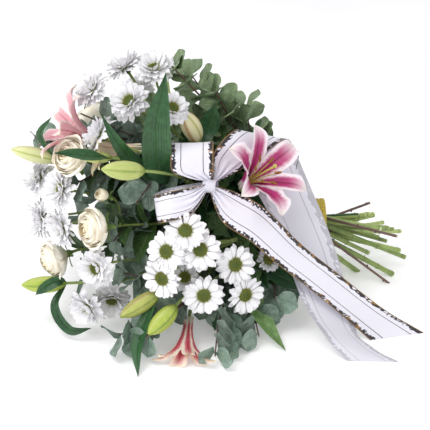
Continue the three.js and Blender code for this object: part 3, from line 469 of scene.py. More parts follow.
@dataclass(frozen=True)
class Tepal(Finish):
    """A lily's tepals: a deep midrib and spots on a coloured middle, with pale margins and tips."""

    middle: str
    rib: str
    margin: str = "f8eaf0"
    tip: str = "f2e6d8"
    reach: float = 0.85
    throat: str = "efe3c8"

    def paint(self, shader: Shader) -> None:
        """Builds the finish's nodes."""
        across, along, chart = shader.surface()
        side = abs(across * 2.0 - 1.0)
        frayed = side + (shader.noise(260.0, 3.0) - 0.5) * 0.28
        inner = frayed.step(self.reach, self.reach - 0.4) * along.step(0.06, 0.2) * along.step(1.02, 0.66)
        body = shader.mix(inner, self.margin, self.middle)
        body = shader.mix(side.step(0.16, 0.02) * along.step(0.95, 0.6) * 0.85, body, self.rib)
        body = shader.mix(along.step(0.88, 1.0) * 0.7, body, self.tip)
        body = shader.mix(along.step(0.16, 0.03) * 0.75, body, self.throat)
        stretched = shader.node("Mapping", {}, {"Vector": chart, "Scale": (9.0, 22.0, 1.0)})
        cells = shader.node("TexVoronoi", {}, {"Vector": stretched, "Scale": 1.0, "Randomness": 0.9})
        spots = cells.step(0.3, 0.18) * along.step(0.62, 0.45) * along.step(0.04, 0.12) * side.step(0.8, 0.6)
        body = shader.mix(spots * 0.75, body, self.rib)
        height = (across * 7.0).folds() * 0.25 + spots * 1.5 + shader.noise(700.0) * 0.2 + side.step(0.0, 0.14) * 1.2
        shader.coat(body, 0.42, height, 0.0004, Subsurface_Weight=0.12, Subsurface_Scale=0.002)


@dataclass(frozen=True)
class BudSkin(Finish):
    """A closed lily bud: lime flanks, darker keels and, when it is near opening, a beige or rosy seam."""

    flank: str
    keel: str
    blush: str = "d9c7a0"
    ripe: float = 0.2
    fleck: str = "dce08a"

    def paint(self, shader: Shader) -> None:
        """Builds the finish's nodes."""
        across, along, _ = shader.surface()
        keels = (across * 3.0).folds()
        body = shader.mix(keels.step(0.72, 1.0) * 0.8, self.flank, self.keel)
        body = shader.mix(keels.step(0.35, 0.0) * self.ripe, body, self.blush)
        body = shader.mix(along.step(0.22, 0.0) * 0.8, body, self.keel)
        body = shader.mix(shader.noise(160.0, 4.0).step(0.4, 0.75) * 0.25, body, self.fleck)
        lines = (across * 24.0).folds() * 0.5
        body = shader.mix(lines.step(0.2, 0.0) * 0.3, body, self.keel)
        shader.coat(body, 0.4, lines + shader.noise(500.0) * 0.5, 0.0002)


class Veins(Enum):
    """How the veins of a leaf run."""

    FEATHERED = "feathered"
    PARALLEL = "parallel"


@dataclass(frozen=True)
class LeafSkin(Finish):
    """A leaf's skin: a midrib and veins on a mottled green, with its own gloss and, on some, a waxy bloom."""

    dark: str
    light: str
    vein: str
    veins: Veins = Veins.FEATHERED
    gloss: float = 0.42
    bloom: float = 0.0
    wax: str = "b4c4ba"

    def paint(self, shader: Shader) -> None:
        """Builds the finish's nodes."""
        across, along, _ = shader.surface()
        side = abs(across * 2.0 - 1.0)
        if self.veins is Veins.PARALLEL:
            lines = (across * 11.0).folds().step(0.25, 0.0)
        else:
            lines = (along * 9.0 - side * 1.6).folds().step(0.22, 0.0)
        lines = lines * side.step(1.0, 0.7)
        rib = side.step(0.09, 0.02)
        mottled = shader.noise(150.0, 4.0).step(0.3, 0.75) * 0.6 + shader.shade() * 0.55
        body = shader.mix(mottled, self.dark, self.light)
        body = shader.mix(lines * 0.3, body, self.vein)
        body = shader.mix(rib * 0.6, body, self.vein)
        if self.bloom:
            body = shader.mix(shader.noise(90.0, 3.0).step(0.35, 0.7) * self.bloom, body, self.wax)
        shader.coat(body, self.gloss, lines * -0.6 - rib * 1.2 + shader.noise(420.0) * 0.5, 0.0009)


@dataclass(frozen=True)
class Bark(Finish):
    """The skin of a stem: streaked along it, ringed at its leaf scars, pale where it is cut."""

    young: str
    old: str
    joints: int
    streaks: float = 0.5
    cut: str = "dbe0b0"
    scar: str = "5d5230"

    def paint(self, shader: Shader) -> None:
        """Builds the finish's nodes."""
        along = shader.surface()[1]
        lines = shader.fibres(14.0, 5.0, 4.0)
        mottled = shader.noise(70.0, 3.0).step(0.3, 0.7) * 0.4 + lines.step(0.4, 0.65) * self.streaks
        mottled = (mottled + (shader.shade() - 0.5)).math("MAXIMUM", 0.0)
        body = shader.mix(mottled, self.young, self.old)
        body = shader.mix((along * self.joints + JOINT_SHIFT).folds().step(0.06, 0.02) * 0.6, body, self.scar)
        body = shader.mix(along.step(0.003, 0.0), body, self.cut)
        shader.coat(body, 0.4, lines + shader.noise(600.0) * 0.4, 0.0005)


@dataclass(frozen=True)
class Plain(Finish):
    """A small part's surface: two colours that mingle, under a fine grain."""

    light: str
    dark: str
    grain: float = 600.0
    gloss: float = 0.5

    def paint(self, shader: Shader) -> None:
        """Builds the finish's nodes."""
        cloud = shader.noise(self.grain, 4.0)
        shader.coat(shader.mix(cloud.step(0.35, 0.7), self.light, self.dark), self.gloss, cloud, 0.0002)


@dataclass(frozen=True)
class Backdrop(Finish):
    """The white surface of the studio, which glows a little so that it stays white round the bouquet."""

    white: str = "fbfbff"
    glow: float = 0.22

    def paint(self, shader: Shader) -> None:
        """Builds the finish's nodes."""
        cloud = shader.noise(3.0)
        paper = shader.mix(cloud.step(0.3, 0.7), self.white, "ffffff")
        shader.coat(paper, 0.9, cloud, 0.0, Emission_Color=colour("ffffff"), Emission_Strength=self.glow)


@dataclass(frozen=True)
class Satin(Finish):
    """White satin ribbon with a printed scroll edge in black and gold, and a thin line inside each edge.

    On the piece's own chart, across runs from edge to edge and along is in the same scale.
    """

    cloth: str = "e6e4ee"
    ink: str = "1d1820"
    gold: str = "a5804a"
    strength: float = 1.0
    thread: float = 0.24
    threads: float = 900.0

    def paint(self, shader: Shader) -> None:
        """Builds the finish's nodes."""
        across, along, chart = shader.surface()
        inward = abs(across * 2.0 - 1.0) * -0.5 + 0.5
        depth = shader.noise(7.0, 2.0, chart) * 0.2 + 0.01
        cells = shader.node("TexVoronoi", {"feature": "DISTANCE_TO_EDGE"}, {"Vector": chart, "Scale": 10.0})
        band = (inward - depth).step(0.006, -0.006)
        hem = inward.step(0.032, 0.022)
        drawn = (band * cells.step(0.25, 0.18) + hem).top() * self.strength
        printed = (drawn + abs(inward - self.thread).step(0.011, 0.007) * self.strength).top()
        gilt = shader.noise(5.0, 3.0, chart).step(0.56, 0.66)
        ink = shader.mix((gilt * 0.85 + hem * 0.5).top(), self.ink, self.gold)
        body = shader.mix(printed, self.cloth, ink)
        weave = (across * self.threads).math("SINE") * 0.3 + (along * self.threads).math("SINE") * 0.3
        sheen = {"Metallic": printed * gilt * 0.7, "Sheen_Weight": 0.25}
        shader.coat(body, 0.42 - printed * 0.08, weave * 0.1 + printed * 0.5, 0.00012, **sheen)


@dataclass(frozen=True)
class Straw(Finish):
    """Yellow raffia: split fibres along each strand."""

    light: str = "e3cb55"
    dark: str = "a98a2c"

    def paint(self, shader: Shader) -> None:
        """Builds the finish's nodes."""
        fibres = shader.fibres(16.0, 3.0, 5.0)
        shader.coat(shader.mix(fibres.step(0.35, 0.65), self.light, self.dark), 0.6, fibres, 0.0004)


JOINT_SHIFT = 0.35
WHITE_RAYS = RayPetal("white_ray_petals")
FLORETS = Floret("disc_florets")
IVORY = RosePetal("ivory_rose_petals")
PINK_TEPALS = Tepal("open_lily_tepals", "b42e74", "8c1146", reach=0.86)
ROSY_TEPALS = Tepal("opening_lily_tepals", "e8a9b4", "d07a86", "f6e2dc", "f0e6c8", 1.05)
PALE_TEPALS = Tepal("pale_lily_tepals", "e9cdb4", "c98f86", "efe0bf", "e6dca6", 0.9)
BLUSH_TEPALS = Tepal("blush_lily_tepals", "cb5a68", "a63043", "f4dfce", "ecdcae", 0.7)
LIME_BUD = BudSkin("lime_lily_bud", "aec04f", "6f8a33")
ROSY_BUD = BudSkin("rosy_lily_bud", "b4bb62", "7f8b3c", "a0705c", 0.6)
BEIGE_BUD = BudSkin("beige_lily_bud", "efe7bd", "b3b25c", "a8744f", 0.9)
CREAM_BUD = BudSkin("cream_lily_bud", "dcdfa6", "a3b055", "e8d6b4", 0.7)
PALE_BUD = BudSkin("pale_lily_bud", "b9c472", "869a45", "d3d39a", 0.5)
LILY_LEAF = LeafSkin("lily_leaf", "1f4327", "3a6a3c", "58814f", Veins.PARALLEL, 0.34)
BRIGHT_LEAF = LeafSkin("bright_large_leaf", "57803f", "93b673", "c2d3a2", Veins.PARALLEL, 0.4)
DARK_LEAF = LeafSkin("ruscus_leaf", "17331d", "2c5230", "4a6d43", Veins.PARALLEL, 0.3)
ROSE_LEAF = LeafSkin("rose_leaf", "263f22", "44652f", "6f8a4b", gloss=0.4)
MUM_LEAF = LeafSkin("chrysanthemum_leaf", "33502a", "53743c", "7b9660", gloss=0.6)
GUM_LEAF = LeafSkin("eucalyptus_leaf", "43594b", "819b88", "9cae98", gloss=0.5, bloom=0.28)
FRESH_GUM_LEAF = LeafSkin("fresh_eucalyptus_leaf", "566f48", "90a877", "b0bd95", gloss=0.5, bloom=0.2)
MUM_STEM = Bark("chrysanthemum_stem", "b3c378", "6d8644", 9)
ROSE_STEM = Bark("rose_stem", "8fa055", "566a34", 6, 0.6)
LILY_STEM = Bark("lily_stem", "a9bc6c", "6c8746", 12)
GUM_STEM = Bark("eucalyptus_stem", "7d5f55", "4a3733", 14, 0.8, "c9b58c", "3a2a28")
RUSCUS_STEM = Bark("ruscus_stem", "3f6b35", "2b4c28", 10)
CALYX = Plain("green_calyx", "6f8a45", "4d6a33")
ANTHER = Plain("anther_pollen", "a8752c", "6a3d1a", 1500.0, 0.8)
FILAMENT = Plain("lily_filament", "dbcf74", "b5ad52")
WIRE = Plain("green_wire", "3e5a36", "2c4528", gloss=0.4)
SATIN = Satin("printed_satin")
# A darker copy of the satin with weaker print: painted shade for the gathered knot
SHADED_KNOT_SATIN = Satin("shaded_gathered_satin", cloth="d3d0dc", strength=0.6)
GREY_SATIN = Satin("satin_reverse", cloth="dddce6", ink="8a8890", gold="a5a2a6", strength=0.55)
STRAW = Straw("yellow_raffia")


# Meshes


def meshed(name: str, mesh: bmesh.types.BMesh) -> bpy.types.Mesh:
    """A mesh of that name from a finished bmesh, which is freed."""
    made = bpy.data.meshes.new(name)
    mesh.to_mesh(made)
    mesh.free()
    return made


def put(name: str, data: bpy.types.ID) -> bpy.types.Object:
    """A new object in the scene that holds the data."""
    made = bpy.data.objects.new(name, data)
    bpy.context.scene.collection.objects.link(made)
    return made


class Clay:
    """A mesh in the making, in millimetres round the tie, with the chart and the tint that finishes read."""

    MERGE = 0.002
    SLIVER = 0.0005
    SHARP = radians(60)

    def __init__(self) -> None:
        """Starts an empty mesh."""
        self.mesh = bmesh.new()
        self.chart = self.mesh.loops.layers.uv.new("Surface")
        self.shades = self.mesh.verts.layers.float.new("shade")
        self.finishes: list[Finish] = []

    def sheet(
        self, columns: int, rows: int, place: Place, finish: Finish, shade: float = 0.5, chart: Chart = plain_chart
    ) -> None:
        """Adds a grid, and moves each of its corners to its place.

        Args:
            columns: Faces across.
            rows: Faces along.
            place: Where a corner goes, by its shares across and along, from 0 to 1.
            finish: The grid's finish.
            shade: Its tint.
            chart: Its surface coordinates, by the same shares.
        """
        if finish not in self.finishes:
            self.finishes.append(finish)
        slot = self.finishes.index(finish)
        for corner in bmesh.ops.create_grid(self.mesh, x_segments=columns, y_segments=rows, size=0.5)["verts"]:
            u, v = corner.co.x + 0.5, corner.co.y + 0.5
            spot = chart(u, v)
            for loop in corner.link_loops:
                loop[self.chart].uv = spot
                loop.face.material_index = slot
                loop.face.smooth = True
            corner[self.shades] = shade
            corner.co = place(u, v)

    def thin(
        self, columns: int, rows: int, place: Place, finish: Finish, thick: float,
        shade: float = 0.5, chart: Chart = plain_chart, under: Finish | None = None,
    ) -> None:
        """Adds a thin closed piece: a petal or a leaf that thins out to its rim, or a strip with square edges.

        Args:
            columns: Faces across each side.
            rows: Faces along.
            place: The middle surface, by the place across, from -1 to 1, and along, from 0 to 1.
            finish: The piece's finish.
            thick: Its greatest thickness.
            shade: Its tint.
            chart: Its surface coordinates, by the shares across and along, from 0 to 1.
            under: The finish of its underside, if it is a strip.
        """
        skin = [[place(2 * i / columns - 1, j / rows) for i in range(columns + 1)] for j in range(rows + 1)]
        lift = []
        for j, row in enumerate(skin):
            before, after = skin[max(0, j - 1)], skin[min(rows, j + 1)]
            end = 1.0 if under else min(1.0, 4 * j / rows, 4 * (1 - j / rows))
            lift.append([])
            for i in range(columns + 1):
                normal = (row[min(columns, i + 1)] - row[max(0, i - 1)]).cross(after[i] - before[i])
                edge = 1.0 if under else sqrt(max(0.0, 1 - (2 * i / columns - 1) ** 2))
                size = normal.length
                lift[j].append(normal * (end * edge * thick / 2 / size) if size > 1e-9 else Vector((0, 0, 0)))

        def at(i: int, j: int, side: float) -> Vector:
            """The skin's point in a column and a row, lifted to one side."""
            return skin[j][i] + lift[j][i] * side

        def rolled(u: float, v: float) -> Vector:
            """Where a corner goes: out along the upper side and back along the under side."""
            i, j = round(u * 2 * columns), round(v * rows)
            return at(i, j, 1) if i <= columns else at(2 * columns - i, j, -1)

        if not under:
            there_and_back = lambda u, v: chart(2 * u if u <= 0.5 else 2 - 2 * u, v)
            self.sheet(2 * columns, rows, rolled, finish, shade, there_and_back)
            return
        upper = lambda u, v: at(round(u * columns), round(v * rows), 1)
        lower = lambda u, v: at(columns - round(u * columns), round(v * rows), -1)
        self.sheet(columns, rows, upper, finish, shade, chart)
        self.sheet(columns, rows, lower, under, shade, lambda u, v: chart(1 - u, v))
        for far, turn in ((0, 1), (1, -1)):
            edge = lambda u, v: at(far * columns, round(v * rows), turn * (2 * u - 1))
            self.sheet(1, rows, edge, finish, shade, lambda u, v: chart(far, v))
        for far, turn in ((0, 1), (1, -1)):
            cut = lambda u, v: at(round(u * columns), far * rows, turn * (2 * v - 1))
            self.sheet(columns, 1, cut, finish, shade, lambda u, v: chart(u, far))

    def tube(
        self, points: Sequence[Vector], radii: Sequence[float], finish: Finish, sides: int, rows: int,
        shade: float = 0.5, swell: Callable[[float, float], float] | None = None,
    ) -> Spline:
        """Adds a round stalk along a line, closed at both ends.

        Args:
            points: What the line passes through.
            radii: Its radius at each of them.
            finish: Its finish.
            sides: Faces round it.
            rows: Faces along it.
            shade: Its tint.
            swell: A factor on the radius, by the angle round it and the share along it.

        Returns:
            The line.
        """
        line = Spline(points)
        thickness = Spline([Vector((r, 0)) for r in radii], line.knots)
        frames, across = [], None
        for j in range(rows + 1):
            along = line.along(j / rows)
            across = across or (Vector((0, 1, 0)) if abs(along.z) > 0.8 else UP)
            across = (across - along * across.dot(along)).normalized()
            frames.append((line(j / rows), across, along.cross(across)))

        def place(u: float, v: float) -> Vector:
            """Where a corner goes; the first and the last row close the ends."""
            j = round(v * (rows + 2)) - 1
            middle, x, y = frames[min(rows, max(0, j))]
            if not 0 <= j <= rows:
                return middle
            angle = 2 * pi * u
            size = thickness(j / rows).x * (swell(angle, j / rows) if swell else 1.0)
            return middle + (x * cos(angle) + y * sin(angle)) * size

        self.sheet(sides, rows + 2, place, finish, shade, capped_chart(rows))
        return line

    def turned(
        self, matrix: Matrix, profile: Sequence[tuple[float, float]], finish: Finish, sides: int, shade: float = 0.5
    ) -> None:
        """Adds a turned shape.

        Args:
            matrix: Its place: it is turned about local Z.
            profile: Pairs of radius and height, upwards on the outside.
            finish: Its finish.
            sides: Faces round it.
            shade: Its tint.
        """
        rows = len(profile) - 1

        def place(u: float, v: float) -> Vector:
            """Where a corner goes."""
            r, z = profile[round(v * rows)]
            return matrix @ around(r, 2 * pi * u, z)

        self.sheet(sides, rows, place, finish, shade)

    def trim(self) -> None:
        """Cuts off whatever would run below the floor, and closes the cuts."""
        if all(v.co.z >= 0 for v in self.mesh.verts):
            return
        everything = [*self.mesh.verts, *self.mesh.edges, *self.mesh.faces]
        cut = bmesh.ops.bisect_plane(self.mesh, geom=everything, plane_co=(0, 0, 0), plane_no=UP, clear_inner=True)
        rims = [e for e in cut["geom_cut"] if isinstance(e, bmesh.types.BMEdge) and e.is_boundary]
        bmesh.ops.holes_fill(self.mesh, edges=rims)

    def piece(self, name: str, slot: str, nodes: Sequence[str]) -> bpy.types.Object:
        """Finishes the mesh as a piece of the object.

        Args:
            name: The piece's name.
            slot: The record's material slot; it is not used.
            nodes: The CAD nodes that it replaces.

        Returns:
            The piece.
        """
        bmesh.ops.remove_doubles(self.mesh, verts=self.mesh.verts, dist=self.MERGE)
        bmesh.ops.dissolve_degenerate(self.mesh, edges=self.mesh.edges, dist=self.SLIVER)
        self.trim()
        bmesh.ops.transform(self.mesh, matrix=TO_ROW, verts=self.mesh.verts)
        made = meshed(name, self.mesh)
        made.set_sharp_from_angle(angle=self.SHARP)
        for finish in self.finishes:
            made.materials.append(finish.material())
        piece = put(name, made)
        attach(piece, "root")
        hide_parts(*nodes)
        log.info("%s: %d faces", name, len(made.polygons))
        return piece


# Leaves


@dataclass(frozen=True)
class LeafForm:
    """The shape of one kind of leaf: its outline and how it bends."""

    finish: Finish
    half: Callable[[float], float]
    droop: float
    fold: float
    ripple: float
    waves: float
    lobes: int = 0
    lobe_depth: float = 0.0
    thick: float = 0.7
    columns: int = 6
    rows: int = 10

    def surface(self, root: Vector, way: Vector, face: Vector, length: float, width: float) -> Place:
        """The middle surface of a leaf.

        Args:
            root: Where it springs from.
            way: The way it points.
            face: The way its upper face looks.
            length: Its length.
            width: Its greatest width.

        Returns:
            The surface, by the place across, from -1 to 1, and along, from 0 to 1.
        """
        side = way.cross(face).normalized()

        def place(a: float, v: float) -> Vector:
            """The point of the surface."""
            half = self.half(v) * width / 2
            forward = 0.0
            if self.lobes:
                notch = abs(sin(pi * self.lobes * v)) ** 0.7
                half *= 1 - self.lobe_depth * (1 - notch) * soft_step(v, 0.1, 0.25)
                forward = 0.35 * half * abs(a) * (1.0 if self.lobe_depth > 0.3 else 0.2)
            run = length * v * (1 - 0.25 * abs(self.droop) * v) + forward * (1 - v)
            rise = -length * self.droop * v * v + abs(a) ** 1.4 * half * self.fold
            rise += self.ripple * width * a * a * sin(2 * pi * self.waves * v + 1.5 * a)
            return root + way * run + side * (a * half) + face * rise

        return place


@dataclass(frozen=True)
class Growth:
    """How leaves follow one another on a stem.

    They grow between two shares of its line, in so many steps, alone or in pairs, each step turned from the last.
    """

    form: LeafForm
    length: float
    width: float
    start: float
    stop: float
    steps: int
    lean: float
    turn: float = 137.5
    pair: int = 1


GUM = LeafForm(
    GUM_LEAF, outline((0, 0.05), (0.1, 0.1), (0.24, 0.62), (0.55, 1), (0.82, 0.78), (1, 0.12)), 0.12, 0.1, 0.05, 1.5
)
LILY = LeafForm(
    LILY_LEAF, outline((0, 0.16), (0.2, 0.66), (0.45, 1), (0.72, 0.72), (1, 0.03)), 0.25, 0.3, 0.04, 2.0, rows=14
)
RUSCUS = LeafForm(
    DARK_LEAF, outline((0, 0.06), (0.12, 0.3), (0.42, 1), (0.75, 0.66), (1, 0.03)), 0.14, 0.14, 0.05, 1.5
)
ROSE = LeafForm(
    ROSE_LEAF, outline((0, 0.1), (0.1, 0.5), (0.4, 1), (0.75, 0.7), (1, 0.03)), 0.2, 0.25, 0.04, 2.0, 9, 0.1, rows=18
)
MUM = LeafForm(
    MUM_LEAF, outline((0, 0.08), (0.18, 0.22), (0.5, 1), (0.8, 0.8), (1, 0.06)), 0.22, 0.14, 0.06, 2.0, 4, 0.5, 0.9,
    8, 20,
)
MUM_GROWTH = Growth(MUM, 56, 34, 0.55, 0.99, 19, 0.7)
ROSE_GROWTH = Growth(ROSE, 52, 33, 0.55, 0.98, 17, 0.8, 130)
LILY_GROWTH = Growth(LILY, 80, 23, 0.54, 0.98, 19, 1.1)
GUM_GROWTH = Growth(GUM, 38, 33, 0.6, 0.985, 8, 0.75, 90, 2)
GUM_SHOOT_GROWTH = Growth(GUM, 38, 34, 0.25, 0.97, 3, 0.75, 90, 2)
RUSCUS_GROWTH = Growth(RUSCUS, 40, 19, 0.45, 0.98, 9, 1.2, 60, 2)
FRESH_GUM = replace(GUM, finish=FRESH_GUM_LEAF)
LEAF_STEP = 23.0
LARGE_HALF = outline((0, 0.16), (0.22, 0.66), (0.5, 1), (0.76, 0.74), (1, 0.03))


class Garden:
    """Grows leaves: it keeps them inside the CAD box and off the faces of blooms, buds and ribbons."""

    LOWEST = 0.4
    TIE_SIDE = -8.0
    MARGIN = 1.0
    BEHIND, BEFORE = -5.0, 45.0
    COVERED = 0.95
    ROLLS = (0, 25, -25, 50, -50, 80, -80, 120, -120, 160)
    PROBES = tuple((a, v) for a in (-0.7, 0, 0.7) for v in (0.3, 0.6, 0.98))
    TO_LIGHT = 0.8
    TIP, TIP_SCALE = 0.93, 0.8

    def __init__(self, faces: Sequence[Face]) -> None:
        """Sets the faces that stay clear.

        Args:
            faces: Each one's centre, the way it looks and its radius.
        """
        self.faces = faces
        back = TO_ROW.inverted()
        low, high = (back @ corner for corner in CAD_BOX)
        self.low, self.high = [c + self.MARGIN for c in low], [c - self.MARGIN for c in high]
        self.luck = random.Random(20)

    def clear(self, spots: Iterable[Vector]) -> bool:
        """Whether a leaf through these spots stays inside the box and leaves every face clear."""
        for p in spots:
            if p.z < self.LOWEST or p.x > self.TIE_SIDE:
                return False
            if any(not low < c < high for c, low, high in zip(p, self.low, self.high)):
                return False
            for centre, face, radius in self.faces:
                out = p - centre
                depth = out.dot(face)
                if self.BEHIND < depth < self.BEFORE and (out - face * depth).length < radius * self.COVERED:
                    return False
        return True

    def leaf(self, clay: Clay, growth: Growth, root: Vector, along: Vector, angle: float, scale: float) -> None:
        """Adds a leaf that springs from a stem, rolled round the stem until it finds room.

        Args:
            clay: The mesh that it joins.
            growth: How it grows.
            root: Where it springs from.
            along: The stem's direction there.
            angle: The first choice of its angle round the stem, in radians.
            scale: A factor on its size.
        """
        form = growth.form
        for roll in self.ROLLS:
            way = (about(along, angle + radians(roll)) + along * growth.lean).normalized()
            face = along + LIGHT_SIDE * self.TO_LIGHT
            face = (face - way * face.dot(way)).normalized()
            place = form.surface(root, way, face, growth.length * scale, growth.width * scale)
            if self.clear(place(a, v) for a, v in self.PROBES):
                clay.thin(form.columns, form.rows, place, form.finish, form.thick, self.luck.random())
                return

    def foliage(self, clay: Clay, growth: Growth, line: Spline) -> None:
        """Adds leaves along a stem, smaller ones near its tip.

        Args:
            clay: The mesh that they join.
            growth: How they grow.
            line: The stem's line.
        """
        for i in range(growth.steps):
            s = growth.start + (growth.stop - growth.start) * i / max(1, growth.steps - 1)
            scale = self.luck.uniform(0.85, 1.15) * (self.TIP_SCALE if s > self.TIP else 1.0)
            for j in range(growth.pair):
                angle = radians(growth.turn * i + 360 / growth.pair * j + self.luck.uniform(-12, 12))
                self.leaf(clay, growth, line(s), line.along(s), angle, scale)


# Stems

SCAR_KNOB = ((1.5, 0), (1.2, 1.3), (0.8, 2.2), (0, 2.3))
THORN = ((1.3, 0), (0.7, 1.2), (0.15, 2.8), (0, 3.0))
THORN_SHARES = (0.09, 0.17, 0.24, 0.42, 0.5, 0.58)


@dataclass
class Stem:
    """One stem of the bunch, from its cut end to the fork or the flower at its top."""

    cut: float
    radius: float
    end: Vector
    spots: list[list[float] | None] = field(default_factory=list)
    alone: list[tuple[float, float] | None] = field(default_factory=list)
    points: list[Vector] = field(default_factory=list)
    thins_at: float = -40.0
    thin_run: float = 400.0
    thinnest: float = 0.6
    rib: float = 0.03
    swelling: float = 0.16

    def lone_route(self, x: float) -> tuple[float, float]:
        """Where the stem would run at x if it were alone: straight, leaning round the bundle, narrow at the waist."""

        def spread(x: float) -> tuple[float, float]:
            """How far the bundle has widened and turned at x."""
            share = x / (HEAD_SWIRL if x < 0 else TAIL_SWIRL)
            return hypot(1, share), atan(share)

        (wide, turn), (end_wide, end_turn) = spread(x), spread(self.end.x)
        y, z = self.end.y, self.end.z - middle_at(self.end.x)
        scale, angle = wide / end_wide, turn - end_turn
        return scale * (y * cos(angle) - z * sin(angle)), scale * (y * sin(angle) + z * cos(angle))

    def grow(self, clay: Clay, finish: Finish, sides: int = 12) -> Spline:
        """Adds the stem's stalk, swollen at the leaf scars that its bark has.

        Args:
            clay: The mesh that it joins.
            finish: Its finish.
            sides: Faces round it.

        Returns:
            Its line.
        """
        joints = finish.joints if isinstance(finish, Bark) else 0
        shares = [1 + (p.x - self.thins_at) / self.thin_run for p in self.points]
        radii = [self.radius * min(1, max(self.thinnest, share)) for share in shares]

        def swell(angle: float, share: float) -> float:
            """Five fine ribs, and a swelling on one side at each leaf scar."""
            ribs = 1 + self.rib * cos(5 * angle + 9 * share)
            if not joints:
                return ribs
            phase = (share * joints + JOINT_SHIFT) % 1.0
            side = 0.6 + 0.4 * cos(angle + joints * share)
            return ribs + self.swelling * exp(-(((phase - 0.5) * 14) ** 2)) * side

        line = clay.tube(self.points, radii, finish, sides, 8 * len(self.points), self.cut * 0.37 % 1.0, swell)
        for k in range(joints):
            share = (k + 0.5 - JOINT_SHIFT) / joints
            spot, along = line(share), line.along(share)
            if abs(spot.x - TIE_X) > TIE_WIDTH:
                side = about(along, GOLDEN_ANGLE * k)
                knob = facing(spot + side * (self.radius * 0.75), side + along * 0.6)
                clay.turned(knob, SCAR_KNOB, finish, 7)
        return line


class Bundle:
    """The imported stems: the tie draws them together, and where two would cross they push apart."""

    ROUNDS = 400
    TIED_ROUNDS = 220
    EVEN_ROUNDS = 341
    FREE = 24.0
    TIE_REACH = 20.0
    DRAW = 0.98
    NEAR = 20.0
    LONGEST_PUSH = 1.5
    EVENING = 0.2
    LEAST_TAIL = 0.02

    def __init__(self, stems: dict[str, Stem]) -> None:
        """Packs the stems.

        Args:
            stems: The stems by name, in the order in which they are packed.
        """
        every = list(stems.values())
        for stem in every:
            stem.alone = [
                stem.lone_route(x) if stem.end.x + self.FREE < x <= stem.cut else None for x in STATIONS
            ]
            stem.spots = [list(p) if p else None for p in stem.alone]
        for turn in range(self.ROUNDS):
            self.press(every, turn < self.TIED_ROUNDS)
            if turn < self.EVEN_ROUNDS:
                self.smooth(every)
        for stem in every:
            packed = [Vector((x, p[0], middle_at(x) + p[1])) for x, p in zip(STATIONS, stem.spots) if p]
            tail, before = packed[-1], packed[-2]
            reach = (stem.cut - tail.x) / (tail.x - before.x)
            if reach > self.LEAST_TAIL:
                packed.append(tail + (tail - before) * reach)
            stem.points = [*reversed(packed), stem.end]

    def press(self, stems: list[Stem], tied: bool) -> None:
        """Draws the stems to the tie, and moves each two apart where they come too near.

        Args:
            stems: All stems.
            tied: Whether the tie still draws.
        """
        for k, x in enumerate(STATIONS):
            if tied and abs(x) <= self.TIE_REACH:
                for stem in stems:
                    if stem.spots[k]:
                        stem.spots[k] = [self.DRAW * c for c in stem.spots[k]]
            if k + 1 == len(STATIONS):
                continue
            here = [s for s in stems if s.spots[k] and s.spots[k + 1]]
            for i, a in enumerate(here):
                for b in here[i + 1 :]:
                    self.part(a, b, k)

    def part(self, a: Stem, b: Stem, k: int) -> None:
        """Moves two stems apart between a station and the next, where they run too near each other.

        Args:
            a: One stem.
            b: The other.
            k: The station's number.
        """
        (a0, a1), (b0, b1) = a.spots[k : k + 2], b.spots[k : k + 2]
        dy, dz = b0[0] - a0[0], b0[1] - a0[1]
        ey, ez = b1[0] - a1[0] - dy, b1[1] - a1[1] - dz
        share = min(1.0, max(0.0, -(dy * ey + dz * ez) / (ey * ey + ez * ez or 1.0)))
        y, z = dy + ey * share, dz + ez * share
        apart = y * y + z * z
        if apart > self.NEAR**2:
            return
        run = 2 * (STATIONS[k + 1] - STATIONS[k])
        sy, sz = (a1[0] - a0[0] + b1[0] - b0[0]) / run, (a1[1] - a0[1] + b1[1] - b0[1]) / run
        along = (y * sy + z * sz) / sqrt(1 + sy * sy + sz * sz)
        square = sqrt(max(0.04, apart - along * along))
        lack = a.radius + b.radius + STEM_GAP - square
        if lack <= 0:
            return
        push = min(0.5 * lack / square, self.LONGEST_PUSH / max(1e-6, sqrt(apart)))
        for p, q, weight in ((a0, b0, 1 - share), (a1, b1, share)):
            for axis, way in enumerate((y, z)):
                p[axis] -= way * push * weight
                q[axis] += way * push * weight

    def smooth(self, stems: list[Stem]) -> None:
        """Evens out how far neighbouring stations of each stem have moved."""
        for stem in stems:
            moved = [[p[0] - q[0], p[1] - q[1]] if p else None for p, q in zip(stem.spots, stem.alone)]
            for k, shift in enumerate(moved):
                if shift is None:
                    continue
                before = moved[k - 1] if k and moved[k - 1] else shift
                after = moved[k + 1] if k + 1 < len(moved) and moved[k + 1] else shift
                for axis in (0, 1):
                    stem.spots[k][axis] += self.EVENING * ((before[axis] + after[axis]) / 2 - shift[axis])


# Blooms


@dataclass(frozen=True)
class Bloom:
    """One bloom: its centre, the way it faces, its radius or, for a lily, its scale, and its turn in degrees."""

    spot: Spot
    way: Spot
    size: float = 28.0
    spin: float = 0.0

    @property
    def matrix(self) -> Matrix:
        """The transform from the bloom's own frame, in which it faces +Z."""
        return facing(Vector(self.spot), Vector(self.way), self.spin)

    @property
    def axis(self) -> Vector:
        """The way that it faces, as a unit vector."""
        return Vector(self.way).normalized()


FULL_HEAD = {"rays": (16, 15, 13, 9), "rise": 20.0, "back": 14.0}
FLAT_SPRAYS = ("front", "low")
RAY_HALF = outline((0, 0.26), (0.25, 0.6), (0.6, 1), (0.85, 0.92), (1, 0.42))


